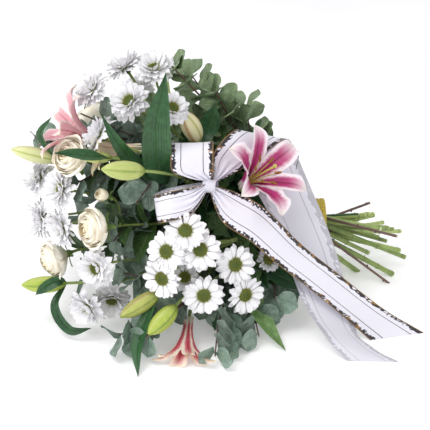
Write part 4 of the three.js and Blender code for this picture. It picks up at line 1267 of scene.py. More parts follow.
@dataclass
class Daisy:
    """A daisy chrysanthemum: rings of white rays round a domed disc of green florets."""

    bloom: Bloom
    luck: random.Random
    rays: tuple[int, ...] = (15, 12)
    rise: float = 3.0
    back: float = 0.0
    disc: float = 8.6
    florets: int = 72
    bracts: int = 14
    ring_step: float = 0.09
    ring_lift: float = 2.2
    thick: float = 0.55

    def petals(self, clay: Clay) -> None:
        """Adds the rays, ring by ring, the outer and lower one first."""
        for ring, count in enumerate(self.rays):
            for i in range(count):
                self.ray(clay, ring, 2 * pi * (i + 0.5 * ring + self.luck.uniform(-0.16, 0.16)) / count)

    def ray(self, clay: Clay, ring: int, angle: float) -> None:
        """Adds one ray, notched at its tip.

        Args:
            clay: The mesh that it joins.
            ring: The number of its ring, from the outer one.
            angle: Where it springs, round the disc.
        """
        draw, matrix = self.luck.uniform, self.bloom.matrix
        reach = self.bloom.size * (1.0 - self.ring_step * ring) * draw(0.92, 1.03)
        lift = self.ring_lift * ring + draw(-1.2, 2.0)
        twist, curl = draw(-0.5, 0.5), draw(-3.5, 3.5)
        slope = radians(self.rise * ring - self.back + draw(-4, 4))
        width = draw(7.4, 9.2) * self.bloom.size / 28
        root, notch = 0.8 * self.disc, draw(0.2, 1.3)

        def place(a: float, v: float) -> Vector:
            """The point of the ray's middle surface."""
            across = a * RAY_HALF(v) * width / 2
            run = (reach - root) * v - 1.6 * a * a * v**6 - notch * exp(-((a / 0.35) ** 2)) * v**8
            high = lift * (0.35 + 0.65 * v) + 0.9 * sin(pi * v) + curl * v**3 + 1.6 * a * a * v
            high += run * sin(slope)
            high += twist * across - 0.35 * cos(2 * pi * a) * soft_step(v, 0.0, 0.5)
            return matrix @ around(root + run * cos(slope), angle, high, across)

        clay.thin(4, 6, place, WHITE_RAYS, self.thick, self.luck.random())

    def heart(self, clay: Clay) -> None:
        """Adds the cup of bracts under the rays and the disc of florets on top."""
        matrix, disc = self.bloom.matrix, self.disc * min(1.0, self.bloom.size / 26)
        cup = [(0, -9.6), (1.8, -9.4), (4.6, -7), (7.6, -4), (disc, -1.2)]
        clay.turned(matrix, [*cup, (disc * 0.97, 1.2), (disc * 0.7, 2.9), (0, 3.6)], CALYX, 14)
        for i in range(self.bracts):

            def bract(a: float, v: float) -> Vector:
                """The point of the bract's middle surface."""
                swing = 2 * pi * i / self.bracts + a * 0.26 * (1 - 0.7 * v)
                return matrix @ around(4.0 + (disc - 2.4) * v, swing, -8.1 + 6.4 * v**1.5)

            clay.thin(2, 3, bract, CALYX, 0.7)
        for i in range(self.florets):
            share = sqrt((i + 0.5) / self.florets)
            r, angle, width = disc * 0.96 * share, GOLDEN_ANGLE * i, 0.62 + 0.3 * share
            foot = matrix @ around(r, angle, 0.6 + 2.6 * cos(share * 1.45))
            knob = facing(foot, matrix.to_3x3() @ around(r, angle, 14).normalized(), 40 * i)
            profile = [(0.5 * width, 0), (width, 1.5), (0.75 * width, 2.1), (0, 2.25)]
            clay.turned(knob, profile, FLORETS, 5, 0.25 + 0.75 * share)


@dataclass
class RoseHead:
    """A garden rose: a spiral of petals from a tight heart to a rolled outer ring."""

    bloom: Bloom
    luck: random.Random
    count: int = 20
    young_size: float = 20.0
    young_share: float = 0.45
    sepals: int = 5
    thick: float = 0.8

    def petals(self, clay: Clay) -> None:
        """Adds the petals from the heart outwards: half of them, and less open, in a young rose."""
        young = self.bloom.size < self.young_size
        count = self.count // 2 if young else self.count
        for k in range(count):
            self.petal(clay, k, k / (count - 1) * (self.young_share if young else 1.0))

    def petal(self, clay: Clay, k: int, share: float) -> None:
        """Adds one petal.

        Args:
            clay: The mesh that it joins.
            k: Its number from the heart.
            share: How open it is, from 0 in the heart to 1 in the outer ring.
        """
        size, matrix = self.bloom.size, self.bloom.matrix
        rim = 0.12 + 0.88 * share**0.8
        top = 0.5 - 0.4 * share**1.2
        roll = soft_step(share, 0.3, 0.95)
        profile = (
            (0.13, -0.9),
            (0.2 + 0.44 * rim, -0.55 + 0.1 * (1 - share)),
            (0.06 + 0.92 * rim, top - 0.36),
            (rim * (0.84 + 0.16 * roll) + 0.03, top - 0.05 * roll),
            (rim * (0.7 + 0.42 * roll) + 0.01, top + 0.06 - 0.15 * roll),
        )
        line = Spline(profile)
        angle = GOLDEN_ANGLE * k + self.luck.uniform(-0.12, 0.12)
        half = radians(125 - 66 * share)
        wave, phase = 0.022 * (0.3 + share), self.luck.uniform(0, 6.28)
        point = self.luck.uniform(0.0, 0.05) * roll

        def place(a: float, v: float) -> Vector:
            """The point of the petal's middle surface."""
            spot = line(v * (1 - 0.2 * abs(a) ** 2.4))
            swing = angle + a * half * (0.5 + 0.5 * soft_step(v, 0, 0.45))
            r = spot.x + 0.05 * a * rim + wave * v**3 * sin(3 * pi * a + phase)
            r += point * exp(-((a / 0.2) ** 2)) * v**4
            z = spot.y + wave * 0.7 * v**3 * sin(2 * pi * a + 1.3 * phase)
            return matrix @ (around(r, swing, z) * size)

        clay.thin(10, 10, place, IVORY, self.thick, 0.12 + 0.88 * share)

    def cup(self, clay: Clay) -> None:
        """Adds the hip under the petals and its sepals."""
        size, matrix = self.bloom.size, self.bloom.matrix
        foot = -0.95 * size
        hip = [(0, foot - 8), (2, foot - 7.8), (0.16 * size + 1.2, foot - 3), (0.17 * size, foot + 1.2), (0, foot + 2)]
        clay.turned(matrix, hip, CALYX, 12)
        for i in range(self.sepals):

            def sepal(a: float, v: float) -> Vector:
                """The point of the sepal's middle surface."""
                width = 0.11 * size * (1 - v) ** 0.7 * (0.6 + 1.6 * v)
                out = 0.15 * size + 0.62 * size * sin(v * 1.5)
                high = foot - 1 + 0.3 * size * v - 0.28 * size * v * v
                return matrix @ around(out, 2 * pi * (i + 0.3) / self.sepals, high, a * width)

            clay.thin(4, 6, sepal, CALYX, 0.6)


STIGMA = ((0, -1), (1.4, -0.6), (2.8, 1.2), (2.3, 2.4), (0, 1.8))


@dataclass(frozen=True)
class LilyFlower(Bloom):
    """An open or opening lily: where its throat is, the way it faces, and how far it has opened."""

    finish: Finish = PINK_TEPALS
    open: float = 1.0
    turn: float = 0.0
    squash: float = 1.0
    wide: float = 1.0
    shows: bool = False
    thick: float = 0.9

    def tepals(self, clay: Clay, luck: random.Random) -> None:
        """Adds the six tepals: three broad inner ones, and three narrower outer ones behind them."""
        for i in range(6):
            self.tepal(clay, i, luck)

    def tepal(self, clay: Clay, i: int, luck: random.Random) -> None:
        """Adds one tepal.

        Args:
            clay: The mesh that it joins.
            i: Its number; the odd ones are the outer ones.
            luck: Draws its ripples.
        """
        outer, matrix, size = i % 2, self.matrix, self.size
        angle = radians(60 * i + self.turn)
        breadths = size * self.wide * (0.8 if outer else 1.0) * (0.55 + 0.45 * self.open)
        path = []
        for k, (r, h) in enumerate(LILY_PATH):
            narrow = 0.35 + 0.65 * self.open if k > 2 else self.open
            out = max(6.5, r * size * narrow)
            path.append((out, h * size + (1 - self.open) * r * size * 0.75 - 2 * outer) if k else (r, h))
        line = Spline(path)
        breadth = Spline([(w * breadths, 0) for w in LILY_WIDTHS], line.knots)
        phase, wave = luck.uniform(0, 6.28), 0.055 * (0.5 if outer else 1.0)

        def place(a: float, v: float) -> Vector:
            """The point of the tepal's middle surface."""
            spot, along = line(v), line.along(v)
            foot = soft_step(v, 0.45, 0.0)
            half = max(0.4, breadth(v).x) / 2 * (1 - 0.9 * soft_step(v, 0.955, 1.0))
            trough = half * (0.3 * abs(a) ** 1.6 - 0.1 * exp(-((a / 0.16) ** 2)) * soft_step(v, 0.0, 0.2))
            ripple = sin(9.5 * v * pi + phase + (1.2 if a > 0 else 0)) * soft_step(v, 0.12, 0.5)
            trough += wave * 2 * half * a * a * ripple + 0.9 * half * abs(a) ** 1.2 * foot
            r, z = spot.x - along.y * trough, spot.y + along.x * trough
            return matrix @ (around(r, angle, z, a * half * (1 - 0.16 * foot)) * Vector((1, self.squash, 1)))

        clay.thin(10, 22, place, self.finish, self.thick, luck.random())

    def stamens(self, clay: Clay) -> None:
        """Adds six filaments with hinged anthers, and the pistil with its three-lobed stigma."""
        matrix, size = self.matrix, self.size

        def stalk(turn: float, spots: Sequence[Spot]) -> list[Vector]:
            """Points of the flower's own frame, turned about its middle by so many degrees."""
            return [matrix @ Matrix.Rotation(radians(turn), 4, "Z") @ Vector(p) for p in spots]

        pistil = stalk(0, ((0, 0, -16), (1, 0.5, 18 * size), (4, 0, 56 * size)))
        clay.tube(pistil, (1.6, 1.2, 1.3), FILAMENT, 8, 12)
        stigma = facing(matrix @ Vector((4, 0, 55 * size)), self.axis, 10)
        clay.turned(stigma, STIGMA, FILAMENT, 9)
        for i in range(6):
            turn = 60 * i + 30
            thread = stalk(turn, ((0.8, 0, -16), (8 * size, 0, 16 * size), (20.5 * size, 0, 42 * size)))
            clay.tube(thread, (1.0, 0.75, 0.5), FILAMENT, 6, 10)
            head = ((16.5 * size, 0, 38 * size), (20.7 * size, 0, 42.6 * size), (24.5 * size, 0, 46 * size))
            lobes = lambda angle, share: 1 + 0.18 * cos(2 * angle)
            clay.tube(stalk(turn, head), (0.9, 1.75, 0.8), ANTHER, 8, 6, 0.5, lobes)


BUD_GIRTH = outline((0, 0.3), (0.1, 0.62), (0.38, 0.97), (0.62, 0.92), (0.88, 0.52), (1, 0.12))


@dataclass(frozen=True)
class Bud:
    """A closed lily bud."""

    base: Spot
    tip: Spot
    radius: float
    finish: Finish = LIME_BUD
    rows: int = 20

    @property
    def matrix(self) -> Matrix:
        """The transform from the bud's own frame, in which its tip points along +Z."""
        return facing(Vector(self.base), Vector(self.tip) - Vector(self.base), 15)

    def grow(self, clay: Clay) -> None:
        """Adds the bud: three keeled outer tepals with furrows between them."""
        length = (Vector(self.tip) - Vector(self.base)).length
        rows, matrix = self.rows, self.matrix

        def place(u: float, v: float) -> Vector:
            """Where a corner goes; the first and the last row close the ends."""
            j = round(v * (rows + 2)) - 1
            s = min(1.0, max(0.0, j / rows))
            lobe = 1 - 0.17 * (0.5 + 0.5 * cos(6 * pi * u)) ** 0.6 * (1 - 0.35 * s)
            r = self.radius * BUD_GIRTH(s) * lobe if 0 <= j <= rows else 0.0
            return matrix @ around(r, 2 * pi * u, s * length)

        clay.sheet(24, rows + 2, place, self.finish, 0.5, capped_chart(rows))


# The plan of the bouquet: where each bloom, leaf and shoot sits, in millimetres round the tie


@dataclass(frozen=True)
class Spray:
    """A stem of chrysanthemums or roses: how far from the tie it is cut, and its blooms."""

    cut: float
    blooms: tuple[Bloom, ...]


@dataclass(frozen=True)
class LilyStem:
    """A stem of lilies: its flowers and buds."""

    cut: float
    flowers: tuple[LilyFlower, ...] = ()
    buds: tuple[Bud, ...] = ()


@dataclass(frozen=True)
class Branch:
    """A leafy branch: where it ends, where its leaves start, and its side shoots' forks and ends."""

    cut: float
    end: Spot
    start: float
    shoots: tuple[tuple[float, Spot], ...]


@dataclass(frozen=True)
class LargeLeaf:
    """A large leaf that is planned on its own: its line, its width and the way its upper face looks.

    It springs from a share of its stem's line or, without one, from the foot of a bud.
    """

    line: tuple[Spot, ...]
    width: float
    up: Spot
    share: float = 0.0
    bud: int = -1
    finish: Finish = LILY_LEAF

    def surface(self, start: Vector, phase: float) -> Place:
        """The leaf's middle surface.

        Args:
            start: Where it springs from.
            phase: The phase of its ripple.

        Returns:
            The surface, by the place across, from -1 to 1, and along, from 0 to 1.
        """
        line, up = Spline([start, *(Vector(p) for p in self.line)]), Vector(self.up).normalized()

        def place(a: float, v: float) -> Vector:
            """The point of the surface."""
            along = line.along(v)
            side = along.cross(up).normalized()
            reach = LARGE_HALF(v) * self.width / 2
            rise = abs(a) ** 1.3 * reach * 0.32 + 0.03 * self.width * a * a * sin(13 * v + phase)
            return line(v) + side * (a * reach) + side.cross(along) * rise

        return place


SPRAYS = {
    "front": Spray(146, (
        Bloom((-146, -160, 143), (0.1, -0.8, 0.55)),
        Bloom((-187, -162, 142), (-0.35, -0.8, 0.45)),
        Bloom((-164, -152, 165), (0, -0.6, 0.8)),
        Bloom((-193, -170, 108), (-0.45, -0.85, 0.12)),
    )),
    "low": Spray(122, (
        Bloom((-142, -167, 81), (0.03, -0.95, 0.22)),
        Bloom((-103, -142, 110), (0.3, -0.85, 0.4)),
        Bloom((-90, -150, 70), (0.45, -0.85, 0.15)),
        Bloom((-166, -146, 94), (-0.1, -0.85, 0.5), 20),
        Bloom((-60, -110, 97), (0.45, -0.6, 0.65), 18),
    )),
    "crown": Spray(118, (
        Bloom((-319, -102, 196), (-0.75, -0.5, 0.4)),
        Bloom((-352, -78, 140), (-0.85, -0.4, 0.05)),
        Bloom((-358, -34, 178), (-0.8, -0.3, 0.5)),
        Bloom((-320, -112, 146), (-0.75, -0.6, -0.1)),
    )),
    "foot": Spray(92, (
        Bloom((-276, -150, 110), (-0.5, -0.8, 0.2)),
        Bloom((-291, -148, 50), (-0.55, -0.75, -0.2)),
        Bloom((-262, -128, 48), (0, -0.95, -0.15)),
    )),
    "top": Spray(88, (
        Bloom((-233, -64, 298), (-0.35, -0.6, 0.7)),
        Bloom((-205, -8, 318), (-0.05, -0.3, 0.95)),
        Bloom((-243, 14, 312), (-0.45, 0.05, 0.88)),
        Bloom((-180, -77, 294), (0.3, -0.55, 0.75), 24),
        Bloom((-284, -18, 293), (-0.6, -0.3, 0.7)),
        Bloom((-268, -90, 264), (-0.75, 0.1, 0.35)),
    )),
    "far": Spray(132, (
        Bloom((-196, 118, 262), (-0.1, 0.6, 0.75)),
        Bloom((-238, 136, 228), (-0.4, 0.75, 0.45)),
        Bloom((-205, 168, 160), (-0.2, 0.95, 0.1)),
        Bloom((-330, 52, 186), (-0.85, 0.35, 0.35)),
    )),
}

ROSES = {
    "left": Spray(104, (Bloom((-308, -95, 238), (-0.5, -0.6, 0.6), 25),)),
    "middle": Spray(128, (
        Bloom((-281, -138, 160), (-0.72, -0.62, 0.25), 25),
        Bloom((-268, -118, 197), (-0.5, -0.6, 0.5), 13, 40),
    )),
    "low": Spray(84, (Bloom((-340, -104, 92), (-0.75, -0.55, -0.05), 25),)),
    "far": Spray(110, (Bloom((-306, 92, 206), (-0.65, 0.6, 0.4), 25, 50),)),
}

LILIES = {
    "bow": LilyStem(150, (
        LilyFlower((-84, -93, 203), (0.55, -0.5, 0.66), 0.84, 0, PINK_TEPALS, 0.84, 12, wide=1.16, shows=True),
    )),
    "left": LilyStem(136, (
        LilyFlower((-296, -58, 252), (-0.75, -0.05, 0.5), 0.72, 0, ROSY_TEPALS, 0.9, 10),
        LilyFlower((-238, -84, 243), (-0.88, -0.3, 0.1), 0.62, 0, PALE_TEPALS, 0.5, 40),
    ), (
        Bud((-214, -124, 233), (-262, -146, 247), 13, PALE_BUD),
        Bud((-254, -108, 243), (-292, -118, 250), 8, PALE_BUD),
        Bud((-330, -52, 212), (-386, -58, 230), 11, CREAM_BUD),
    )),
    "low": LilyStem(100, (
        LilyFlower((-163, -158, 24.4), (-0.08, -0.96, -0.22), 0.8, 0, BLUSH_TEPALS, 0.5, 15, 0.3),
    ), (
        Bud((-198, -152, 76), (-247, -176, 54), 12, ROSY_BUD),
        Bud((-177, -168, 66), (-211, -196, 42), 13),
        Bud((-322, -112, 62), (-378, -122, 66), 12),
    )),
    "top": LilyStem(126, (), (Bud((-149, -50, 237), (-169, -64, 285), 14, BEIGE_BUD),)),
    "far": LilyStem(96, (
        LilyFlower((-130, 114, 100), (0.2, 0.95, 0.15), 0.85, 0, PINK_TEPALS, turn=20, shows=True),
    ), (
        Bud((-196, 136, 108), (-240, 172, 96), 12),
    )),
}

EUCALYPTUS = {
    "top": Branch(141, (-182, -10, 322), 0.6, (
        (0.5, (-90, 10, 262)),
        (0.55, (-128, -14, 292)),
        (0.42, (-72, -4, 224)),
        (0.6, (-160, 22, 300)),
        (0.66, (-214, -40, 262)),
    )),
    "left": Branch(66, (-298, -38, 270), 0.7, (
        (0.55, (-224, -132, 192)),
        (0.6, (-300, -92, 200)),
        (0.5, (-258, -106, 122)),
        (0.52, (-236, -92, 158)),
        (0.72, (-350, -46, 232)),
        (0.5, (-206, -84, 206)),
        (0.58, (-262, -96, 150)),
        (0.46, (-250, -80, 100)),
        (0.62, (-300, -70, 130)),
        (0.4, (-236, -100, 60)),
        (0.44, (-222, -96, 110)),
        (0.6, (-276, -60, 180)),
    )),
    "low": Branch(96, (-214, -196, 38), 0.55, (
        (0.3, (-50, -128, 48)),
        (0.34, (-22, -112, 76)),
        (0.42, (-72, -168, 18)),
        (0.5, (-128, -204, 14)),
        (0.66, (-252, -178, 26)),
        (0.56, (-246, -122, 84)),
    )),
    "far": Branch(112, (-160, 172, 90), 0.55, (
        (0.6, (-262, 116, 178)),
        (0.5, (-96, 128, 168)),
        (0.62, (-232, 146, 54)),
    )),
}

RUSCUS_BRANCH = Branch(70, (-262, 78, 18), 0.6, ())

LARGE_LEAVES = {
    "lily_left": (
        LargeLeaf(((-196, -92, 216), (-199, -110, 274), (-186, -100, 349)), 36, (0.2, -1, 0.2), share=0.97),
        LargeLeaf(((-222, -98, 226), (-242, -117, 262), (-262, -120, 306)), 20, (0.2, -1, 0.3), share=0.95),
        LargeLeaf(((-272, -132, 256), (-292, -142, 264), (-316, -150, 270)), 18, (0, -0.5, 1), bud=1),
        LargeLeaf(((-338, -62, 232), (-346, -66, 255), (-330, -66, 278)), 10, (-0.4, -0.9, 0), bud=2),
    ),
    "lily_low": (
        LargeLeaf(((-334, -136, 46), (-314, -152, 16), (-286, -160, 25)), 15, (-0.3, -0.7, 0.3), bud=2),
        LargeLeaf(((-330, -122, 72), (-344, -128, 68), (-360, -130, 56)), 15, (0, -0.8, 0.6), bud=2),
        LargeLeaf(((-214, -174, 50), (-224, -202, 24), (-223, -228, 0.7)), 20, (-0.5, -0.6, 0.5), bud=0),
    ),
    "lily_top": (LargeLeaf(((-140, -41, 244), (-134, -38, 258), (-128, -38, 282)), 26, (0, -1, 0.3), bud=0),),
    "lily_far": (LargeLeaf(((-206, 116, 62), (-240, 130, 26), (-262, 138, 0.7)), 26, (-0.3, 0.6, 0.7), share=0.97),),
    "rose_low": (LargeLeaf(((-296, -72, 58), (-310, -70, 26), (-318, -68, 0.7)), 24, (-0.9, -0.2, 0.2), share=0.95),),
    "chrysanthemum_low": (
        LargeLeaf(((-52, -104, 74), (-32, -112, 66), (-8, -114, 58)), 30, (0.2, -0.5, 0.85), share=0.99),
        LargeLeaf(((-80, -118, 48), (-62, -150, 22), (-38, -178, 4)), 26, (0.3, -0.4, 0.85), 0.98, finish=BRIGHT_LEAF),
    ),
}


# The stems' radii in millimetres, and how far from the waist to the middle of its heads a stem forks
RADII = {"chrysanthemum": 3, "rose": 2.6, "lily": 3.7, "eucalyptus": 1.8, "ruscus": 1.6, "pick": 1.1}
SPRAY_FORK, LILY_FORK, LONE_LILY_FORK = 0.62, 0.68, 0.7
ROSE_NECK = 14

# Where leaves keep clear: the shares and radii of what the camera sees of flowers, buds and large leaves
OPEN_CLEAR, FLOWER_CLEAR, BUD_CLEAR, LEAF_CLEAR, BUD_MIDDLE = 60, 45, 20, 0.6, 0.55


def fork_of(spots: Sequence[Spot], share: float) -> Vector:
    """Where a stem forks: a share of the way from the waist to the middle of its heads."""
    middle = sum((Vector(spot) for spot in spots), Vector((0, 0, 0))) / len(spots)
    return Vector((0, 0, WAIST_HEIGHT)).lerp(middle, share)


def plan_stems() -> dict[str, Stem]:
    """All stems of the plan, in the order in which they are packed."""
    stems = {}
    for name, spray in SPRAYS.items():
        stems[f"chrysanthemum_{name}"] = Stem(
            spray.cut, RADII["chrysanthemum"], fork_of([b.spot for b in spray.blooms], SPRAY_FORK)
        )
    for name, spray in ROSES.items():
        bloom = spray.blooms[0]
        neck = Vector(bloom.spot) - bloom.axis * (bloom.size + ROSE_NECK)
        stems[f"rose_{name}"] = Stem(spray.cut, RADII["rose"], neck)
    for name, lily in LILIES.items():
        heads = [f.spot for f in lily.flowers] + [b.base for b in lily.buds]
        fork = fork_of(heads, LILY_FORK if len(heads) > 1 else LONE_LILY_FORK)
        stems[f"lily_{name}"] = Stem(lily.cut, RADII["lily"], fork)
    for name, branch in EUCALYPTUS.items():
        stems[f"eucalyptus_{name}"] = Stem(branch.cut, RADII["eucalyptus"], Vector(branch.end))
    stems["ruscus_under"] = Stem(RUSCUS_BRANCH.cut, RADII["ruscus"], Vector(RUSCUS_BRANCH.end))
    stems["bow_pick"] = Stem(40, RADII["pick"], KNOT + Vector((1, 1, -8.3)))
    return stems


@dataclass
class Bouquet:
    """The whole bunch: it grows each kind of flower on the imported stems."""

    stems: dict[str, Stem]
    garden: Garden
    luck: random.Random = field(default_factory=lambda: random.Random(7))
    bend: float = 0.45
    topmost: float = 0.995
    bloom_foot: float = 9.2
    rose_foot: float = 7.0

    def shoot(
        self, clay: Clay, fork: Vector, end: Vector, way: Vector, radius: float, top: float, finish: Finish
    ) -> None:
        """Adds a side shoot from a stem to the back of a bloom.

        Args:
            clay: The mesh that it joins.
            fork: Where it leaves the stem.
            end: Where it ends.
            way: The way it arrives.
            radius: Its radius along its way.
            top: Its radius at its end.
            finish: Its finish.
        """
        bend = end - way * (self.bend * (end - fork).length)
        radii = (radius * 1.15, radius, radius, radius, radius * 1.05, top)
        clay.tube(bent(fork, bend, end, 5), radii, finish, 8, 14)

    def chrysanthemums(self) -> None:
        """Grows the sprays of daisy chrysanthemums."""
        for name, spray in SPRAYS.items():
            stem, green, white = f"chrysanthemum_{name}", Clay(), Clay()
            line = self.stems[stem].grow(green, MUM_STEM)
            head = {} if name in FLAT_SPRAYS else FULL_HEAD
            for i, bloom in enumerate(spray.blooms):
                daisy = Daisy(replace(bloom, spin=self.luck.uniform(0, 60)), self.luck, **head)
                end = Vector(bloom.spot) - bloom.axis * self.bloom_foot
                self.shoot(green, line(self.topmost - 0.035 * i), end, bloom.axis, 1.5, 2.0, MUM_STEM)
                daisy.heart(green)
                daisy.petals(white)
            self.large_leaves(green, stem, line)
            self.garden.foliage(green, MUM_GROWTH, line)
            green.piece(f"spray_{name}_greenery", "chrysanthemum_green", [stem])
            white.piece(f"spray_{name}_petals", "ray_petals", nodes_named(f"{stem}_rays"))

    def roses(self) -> None:
        """Grows the roses."""
        for name, spray in ROSES.items():
            stem, green, cream = f"rose_{name}", Clay(), Clay()
            line = self.stems[stem].grow(green, ROSE_STEM)
            for bloom in spray.blooms:
                head = RoseHead(bloom, self.luck)
                end = Vector(bloom.spot) - bloom.axis * (0.95 * bloom.size + self.rose_foot)
                self.shoot(green, line(0.985), end, bloom.axis, 1.9, 2.1, ROSE_STEM)
                head.cup(green)
                head.petals(cream)
            self.large_leaves(green, stem, line)
            self.thorns(green, line, self.stems[stem].radius)
            self.garden.foliage(green, ROSE_GROWTH, line)
            green.piece(f"rose_{name}_greenery", "rose_green", [stem])
            cream.piece(f"rose_{name}_petals", "rose_petals", nodes_named(f"{stem}_bloom"))

    def thorns(self, clay: Clay, line: Spline, radius: float) -> None:
        """Adds a rose stem's thorns, below the tie and above it."""
        for share in THORN_SHARES:
            along = line.along(share)
            side = about(along, self.luck.uniform(0, 6.28))
            clay.turned(facing(line(share) + side * (radius * 0.7), side - along * 0.3), THORN, ROSE_STEM, 6)

    def lilies(self) -> None:
        """Grows the lilies."""
        for name, lily in LILIES.items():
            stem, green, pink = f"lily_{name}", Clay(), Clay()
            line = self.stems[stem].grow(green, LILY_STEM)
            heads = [(f.matrix, 2.3, 2.4, -18.0) for f in lily.flowers] + [(b.matrix, 1.9, 1.9, 1.0) for b in lily.buds]
            for i, (matrix, radius, top, height) in enumerate(heads):
                way, end = (matrix.to_3x3() @ UP).normalized(), matrix @ Vector((0, 0, height))
                self.shoot(green, line(self.topmost - 0.03 * i), end, way, radius, top, LILY_STEM)
            for flower in lily.flowers:
                flower.tepals(pink, self.luck)
                if flower.shows:
                    flower.stamens(green)
            for bud in lily.buds:
                bud.grow(green)
            self.large_leaves(green, stem, line, lily.buds)
            self.garden.foliage(green, LILY_GROWTH, line)
            green.piece(f"lily_{name}_greenery", "lily_green", [stem])
            if lily.flowers:
                pink.piece(f"lily_{name}_petals", "lily_petals", nodes_named(f"{stem}_flower"))

    def large_leaves(self, clay: Clay, stem: str, line: Spline, buds: Sequence[Bud] = ()) -> None:
        """Adds a stem's planned leaves, each from its share of the stem's line or from the foot of its bud."""
        for leaf in LARGE_LEAVES.get(stem, ()):
            start = line(leaf.share) if leaf.share else Vector(buds[leaf.bud].base)
            place = leaf.surface(start, self.luck.uniform(0, 6))
            clay.thin(8, 22, place, leaf.finish, 0.9, self.luck.random())

    def branches(self) -> None:
        """Grows the eucalyptus and the dark branch that lies underneath."""
        for name, branch in EUCALYPTUS.items():
            clay, form = Clay(), FRESH_GUM if name == "top" else GUM
            line = self.stems[f"eucalyptus_{name}"].grow(clay, GUM_STEM, 10)
            self.garden.foliage(clay, replace(GUM_GROWTH, form=form, start=branch.start), line)
            for share, tip in branch.shoots:
                fork, end = line(share), Vector(tip)
                bend = fork + line.along(share) * (self.bend * (end - fork).length)
                side = clay.tube(bent(fork, bend, end, 4), (1.5, 1.4, 1.3, 1.2, 0.9), GUM_STEM, 8, 20)
                steps = max(3, round(side.length() / LEAF_STEP))
                self.garden.foliage(clay, replace(GUM_SHOOT_GROWTH, form=form, steps=steps), side)
            clay.piece(f"gum_{name}_branch", "eucalyptus", [f"eucalyptus_{name}"])
        clay = Clay()
        line = self.stems["ruscus_under"].grow(clay, RUSCUS_STEM, 10)
        self.garden.foliage(clay, RUSCUS_GROWTH, line)
        clay.piece("ruscus_dark_branch", "ruscus", ["ruscus_under"])


# The ribbon and the tie


class Edge:
    """One edge of a ribbon: the centripetal Catmull-Rom curve through its points, in equal shares between them."""

    def __init__(self, *points: Spot) -> None:
        """Sets the edge's points."""
        spots = [Vector(p) for p in points]
        self.spots = [2 * spots[0] - spots[1], *spots, 2 * spots[-1] - spots[-2]]

    def __call__(self, share: float) -> Vector:
        """The point at a share of the edge."""
        count = len(self.spots) - 3
        i = min(count - 1, int(share * count))
        a, b, c, d = self.spots[i : i + 4]
        before, here, after = ((q - p).length ** 0.5 or 1.0 for p, q in ((a, b), (b, c), (c, d)))
        m = ((b - a) / before - (c - a) / (before + here) + (c - b) / here) * here
        n = ((c - b) / here - (d - b) / (here + after) + (d - c) / after) * here
        return hermite(b, m, c, n, share * count - i)


@dataclass(frozen=True)
class Ribbon:
    """A strip of satin ribbon between two edges, with gathers where it comes out of the knot."""

    name: str
    edges: tuple[Edge, Edge]
    held: str
    gathers: tuple[float, ...] = (0.0,)
    rows: int = 120
    flipped: bool = False
    rests_on: tuple[str, ...] = ("bow_knot_wrap",)
    width: float = 52.0
    thick: float = 0.45
    columns: int = 20
    ripple: float = 0.65
    pleats: int = 4
    fullest: float = 2.2
    gather_run: float = 30.0
    wave_run: float = 60.0
    floor: float = 0.9

    def point(self, side: float, v: float) -> Vector:
        """The point at a place across, from -1 to 1, and a share along, where the ribbon is flat."""
        a, b = self.edges
        return a(v).lerp(b(v), (side + 1) / 2)

    def length(self) -> float:
        """The length along its middle."""
        return length_of([self.point(0, i / 80) for i in range(81)])

    def faces(self, gap: float = 20.0) -> list[Face]:
        """Discs along the side that the camera sees, which leaves keep clear of.

        Args:
            gap: How far each centre is from the next.

        Returns:
            Each disc's centre, the way it looks and its radius.
        """
        discs, length = [], self.length()
        for i in range(round(length / gap)):
            v = (i + 0.5) * gap / length
            middle = self.point(0, v)
            along = self.point(0, min(1.0, v + 0.02)) - middle
            normal = along.cross(self.point(1, v) - self.point(-1, v)).normalized()
            discs.append((middle, normal if normal.dot(TO_CAMERA) > 0 else -normal, self.width / 2))
        return discs

    def make(self) -> None:
        """Adds the ribbon as a sheet of cloth."""
        clay, length = Clay(), self.length()
        finishes = (GREY_SATIN, SATIN) if self.flipped else (SATIN, GREY_SATIN)

        def place(side: float, v: float) -> Vector:
            """The point of the ribbon's middle surface: pleated near the knot, rippled elsewhere."""
            across = self.point(1, v) - self.point(-1, v)
            along = self.point(0, min(1.0, v + 0.01)) - self.point(0, max(0.0, v - 0.01))
            normal = along.cross(across.normalized()).normalized()
            pull = max(exp(-(((v - g) * length / self.gather_run) ** 2)) for g in self.gathers)
            fold = 1 + (min(self.fullest, self.width / across.length) - 1) * min(1.0, 1.4 * pull)
            deep = across.length / (2 * pi * self.pleats) * sqrt(max(0.0, 2 * (fold * fold - 1)))
            wave = deep * sin(pi * self.pleats * (side + 1) + 0.8 * sin(9 * v))
            turns = 2.1 * pi * v * length / self.wave_run
            wave += self.ripple * (1 - pull) * sin(turns + 1.7 * side) * side
            spot = self.point(side, v) + normal * wave
            spot.z = max(self.floor, spot.z)
            return spot

        chart = lambda u, v: (u, v * length / self.width)
        clay.thin(self.columns, self.rows, place, finishes[0], self.thick, 0.5, chart, finishes[1])
        piece = clay.piece(f"bow_{self.name}", "satin", [f"ribbon_{self.name}"])
        list(self.rests_on)


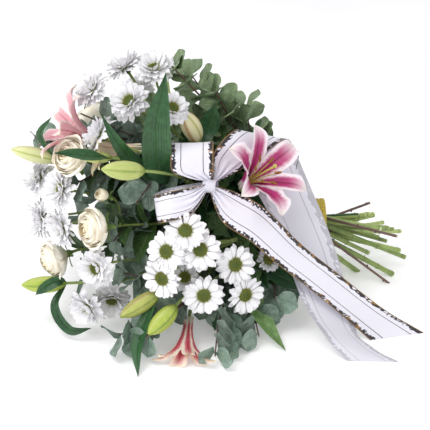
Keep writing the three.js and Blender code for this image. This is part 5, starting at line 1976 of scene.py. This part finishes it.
RIBBONS = (
    Ribbon("tail_front", (
        Edge(
            (-129, -118, 210), (-97, -118, 198), (-68, -123, 182), (-21, -128, 133), (31, -132, 88), (93, -134, 35),
            (146, -137, 0.9),
        ),
        Edge(
            (-135, -121, 204), (-119, -136, 169), (-85, -142, 145), (-52, -146, 115), (-15, -149, 84), (32, -151, 41),
            (73, -153, 0.9),
        ),
    ), "hung"),
    Ribbon("tail_back", (
        Edge(
            (-128, -109, 209), (-92, -88, 219), (-44, -62, 243), (-33, -50, 238), (-19, -52, 208), (6, -74, 155),
            (27, -98, 107), (42, -124, 62), (52, -142, 24), (58, -154, 8), (78, -177, 3), (103, -198, 0.9),
        ),
        Edge(
            (-130, -108.5, 212.5), (-130, -98, 243), (-104, -70, 262), (-95, -58, 250), (-84, -78, 200),
            (-55, -100, 150), (-35, -122, 101), (-17, -150, 62), (12, -182, 26), (39, -196, 0.9),
        ),
    ), "hung", rows=150, flipped=True),
    Ribbon("loop_upper", (
        Edge(
            (-139, -112, 212), (-180, -113, 226), (-182, -107, 246), (-182, -92, 254), (-180, -76, 236),
            (-139, -104, 211),
        ),
        Edge(
            (-132, -113, 213), (-130, -111, 226), (-130, -105, 247), (-130, -90, 255), (-132, -74, 236),
            (-132, -105, 213),
        ),
    ), "gathered", (0.0, 1.0)),
    Ribbon("loop_lower", (
        Edge(
            (-140, -119, 212), (-160, -124, 210), (-186, -128, 206), (-204, -118, 196), (-190, -106, 198),
            (-160, -104, 204), (-141, -105, 208),
        ),
        Edge(
            (-137, -121, 205), (-158, -138, 180), (-184, -148, 176), (-198, -138, 168), (-186, -124, 166),
            (-158, -116, 176), (-138, -109, 201),
        ),
    ), "gathered", (0.0, 1.0), flipped=True),
)


@dataclass(frozen=True)
class Knot:
    """The bow's middle, wrapped in a narrow gathered band of a darker copy of the satin: painted shade in the gather.
    """

    across: float = 7.6
    up: float = 6.6
    half: float = 8.4
    thick: float = 0.8

    def make(self) -> None:
        clay, turn = Clay(), facing(KNOT, Vector((1, -0.25, 0.1)))

        def place(side: float, v: float) -> Vector:
            """The point of the band's middle surface."""
            angle = 2 * pi * v
            bulge = 1 + 0.16 * (1 - side * side) + 0.05 * cos(5 * pi * side + 0.6 * sin(angle))
            return turn @ Vector((self.across * cos(angle) * bulge, self.up * sin(angle) * bulge, side * self.half))

        clay.thin(12, 40, place, SHADED_KNOT_SATIN, self.thick, 0.5, lambda u, v: (0.22 + 0.5 * u, v * 0.9), SHADED_KNOT_SATIN)
        piece = clay.piece("bow_knot_wrap", "satin", ["ribbon_knot"])


@dataclass
class Raffia:
    """The raffia tie: flat strands wound round the bundle, each leaning and rippling in its own way."""

    radius: float
    luck: random.Random
    turns: int = 7

    def make(self) -> None:
        """Winds the strands."""
        clay, draw = Clay(), self.luck.uniform
        centre = Vector((TIE_X, 0, middle_at(TIE_X)))
        for i in range(self.turns):
            shift = TIE_WIDTH * ((i + 0.5) / self.turns - 0.5)
            lean, phase, width = draw(-1.2, 1.2), draw(0, 6.28), draw(2.4, 3.2)

            def place(a: float, v: float) -> Vector:
                """The point of the strand's middle surface."""
                angle = 2 * pi * v
                r = self.radius + 1.0 + 0.45 * sin(2 * angle + phase) + 0.3 * (1 - a * a)
                x = shift + lean * sin(angle + phase) + a * width / 2
                return centre + Vector((x, r * cos(angle), r * sin(angle)))

            clay.thin(4, 64, place, STRAW, 0.7, self.luck.random(), lambda u, v: (u, v * 40))
        clay.piece("raffia_turns", "raffia", ["raffia_tie"])


# The studio


@dataclass(frozen=True)
class Lamp:
    """A square lamp: its place and its side, in metres, and its power, in watts."""

    name: str
    spot: Spot
    power: float
    side: float


def look(piece: bpy.types.Object, spot: Vector, aim: Vector) -> None:
    """Puts a lamp or a camera at a spot and turns it towards its aim."""
    piece.location = spot
    piece.rotation_euler = (aim - spot).to_track_quat("-Z", "Y").to_euler()


@dataclass(frozen=True)
class Studio:
    """The pale floor, soft light and the camera of the photograph; its sizes are in metres."""

    lamps: tuple[Lamp, ...] = (
        Lamp("key", (-0.7, -0.7, 2.0), 18.0, 1.0),
        Lamp("fill", (1.3, -1.2, 1.2), 6.0, 1.4),
        Lamp("side", (-1.5, -1.1, 0.45), 9.0, 1.2),
    )
    aim: Spot = (0, 0, 0.1)
    glow: float = 0.62
    half: float = 6.0

    def build(self) -> None:
        """Sets up the room."""
        self.floor()
        self.lights()
        self.camera()
        bpy.context.scene.view_settings.view_transform = "Standard"

    def floor(self) -> None:
        """Adds the white surface that the bouquet lies on."""
        mesh = bmesh.new()
        bmesh.ops.create_grid(mesh, x_segments=1, y_segments=1, size=self.half)
        floor = put("studio_floor", meshed("studio_floor", mesh))
        floor.data.materials.append(Backdrop("studio_white").material())

    def lights(self) -> None:
        """Adds a bright world, a large key lamp from the upper left front, a fill from the right and a side lamp."""
        world = bpy.data.worlds.new("studio_world")
        bpy.context.scene.world = world
        world.use_nodes = True
        sky = world.node_tree.nodes["Background"].inputs
        sky[0].default_value, sky[1].default_value = (1.0, 1.0, 1.0, 1.0), self.glow
        for plan in self.lamps:
            light = bpy.data.lights.new(plan.name, "AREA")
            light.energy, light.size = plan.power, plan.side
            lamp = put(plan.name, light)
            look(lamp, Vector(plan.spot), Vector(self.aim))

    def camera(self) -> None:
        """Puts the camera where the photograph was taken from."""
        data = bpy.data.cameras.new("photo_camera")
        data.lens, data.sensor_width = CAMERA_LENS, SENSOR
        data.clip_start, data.clip_end = 0.05, 20
        camera = put("photo_camera", data)
        look(camera, TO_ROW @ CAMERA_SPOT, TO_ROW @ CAMERA_AIM)
        bpy.context.scene.camera = camera


def clear_faces() -> list[Face]:
    """The discs that leaves keep clear of: the blooms' own faces, and what the camera sees of lilies and ribbon."""
    flowers = [flower for lily in LILIES.values() for flower in lily.flowers]
    buds = [bud for lily in LILIES.values() for bud in lily.buds]
    leaves = [leaf for planned in LARGE_LEAVES.values() for leaf in planned]
    blooms = [bloom for spray in (*SPRAYS.values(), *ROSES.values()) for bloom in spray.blooms]
    faces = [(Vector(b.spot), b.axis, b.size) for b in blooms]
    faces += [(Vector(f.spot), f.axis, OPEN_CLEAR * f.size * f.open) for f in flowers]
    faces += [(Vector(f.spot), TO_CAMERA, FLOWER_CLEAR * f.size) for f in flowers]
    faces += [(Vector(b.base).lerp(Vector(b.tip), BUD_MIDDLE), TO_CAMERA, BUD_CLEAR) for b in buds]
    faces += [(Vector(spot), TO_CAMERA, leaf.width * LEAF_CLEAR) for leaf in leaves for spot in leaf.line[:-1]]
    return faces + [face for ribbon in RIBBONS for face in ribbon.faces()]


def main() -> None:
    """Builds the bouquet and its studio."""
    logging.basicConfig(level=logging.INFO, format="%(message)s")
    stems = plan_stems()
    Bundle(stems)
    bouquet = Bouquet(stems, Garden(clear_faces()))
    bouquet.chrysanthemums()
    bouquet.roses()
    bouquet.lilies()
    bouquet.branches()
    wire = Clay()
    stems["bow_pick"].grow(wire, WIRE, 8)
    wire.piece("bow_wire", "wire", ["bow_pick"])
    for ribbon in RIBBONS:
        ribbon.make()
    Knot().make()
    low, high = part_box("raffia_tie")
    Raffia((high - low).z / METRE / 2 - 2.6, random.Random(3)).make()
    Studio().build()


if __name__ == "__main__":
    main()
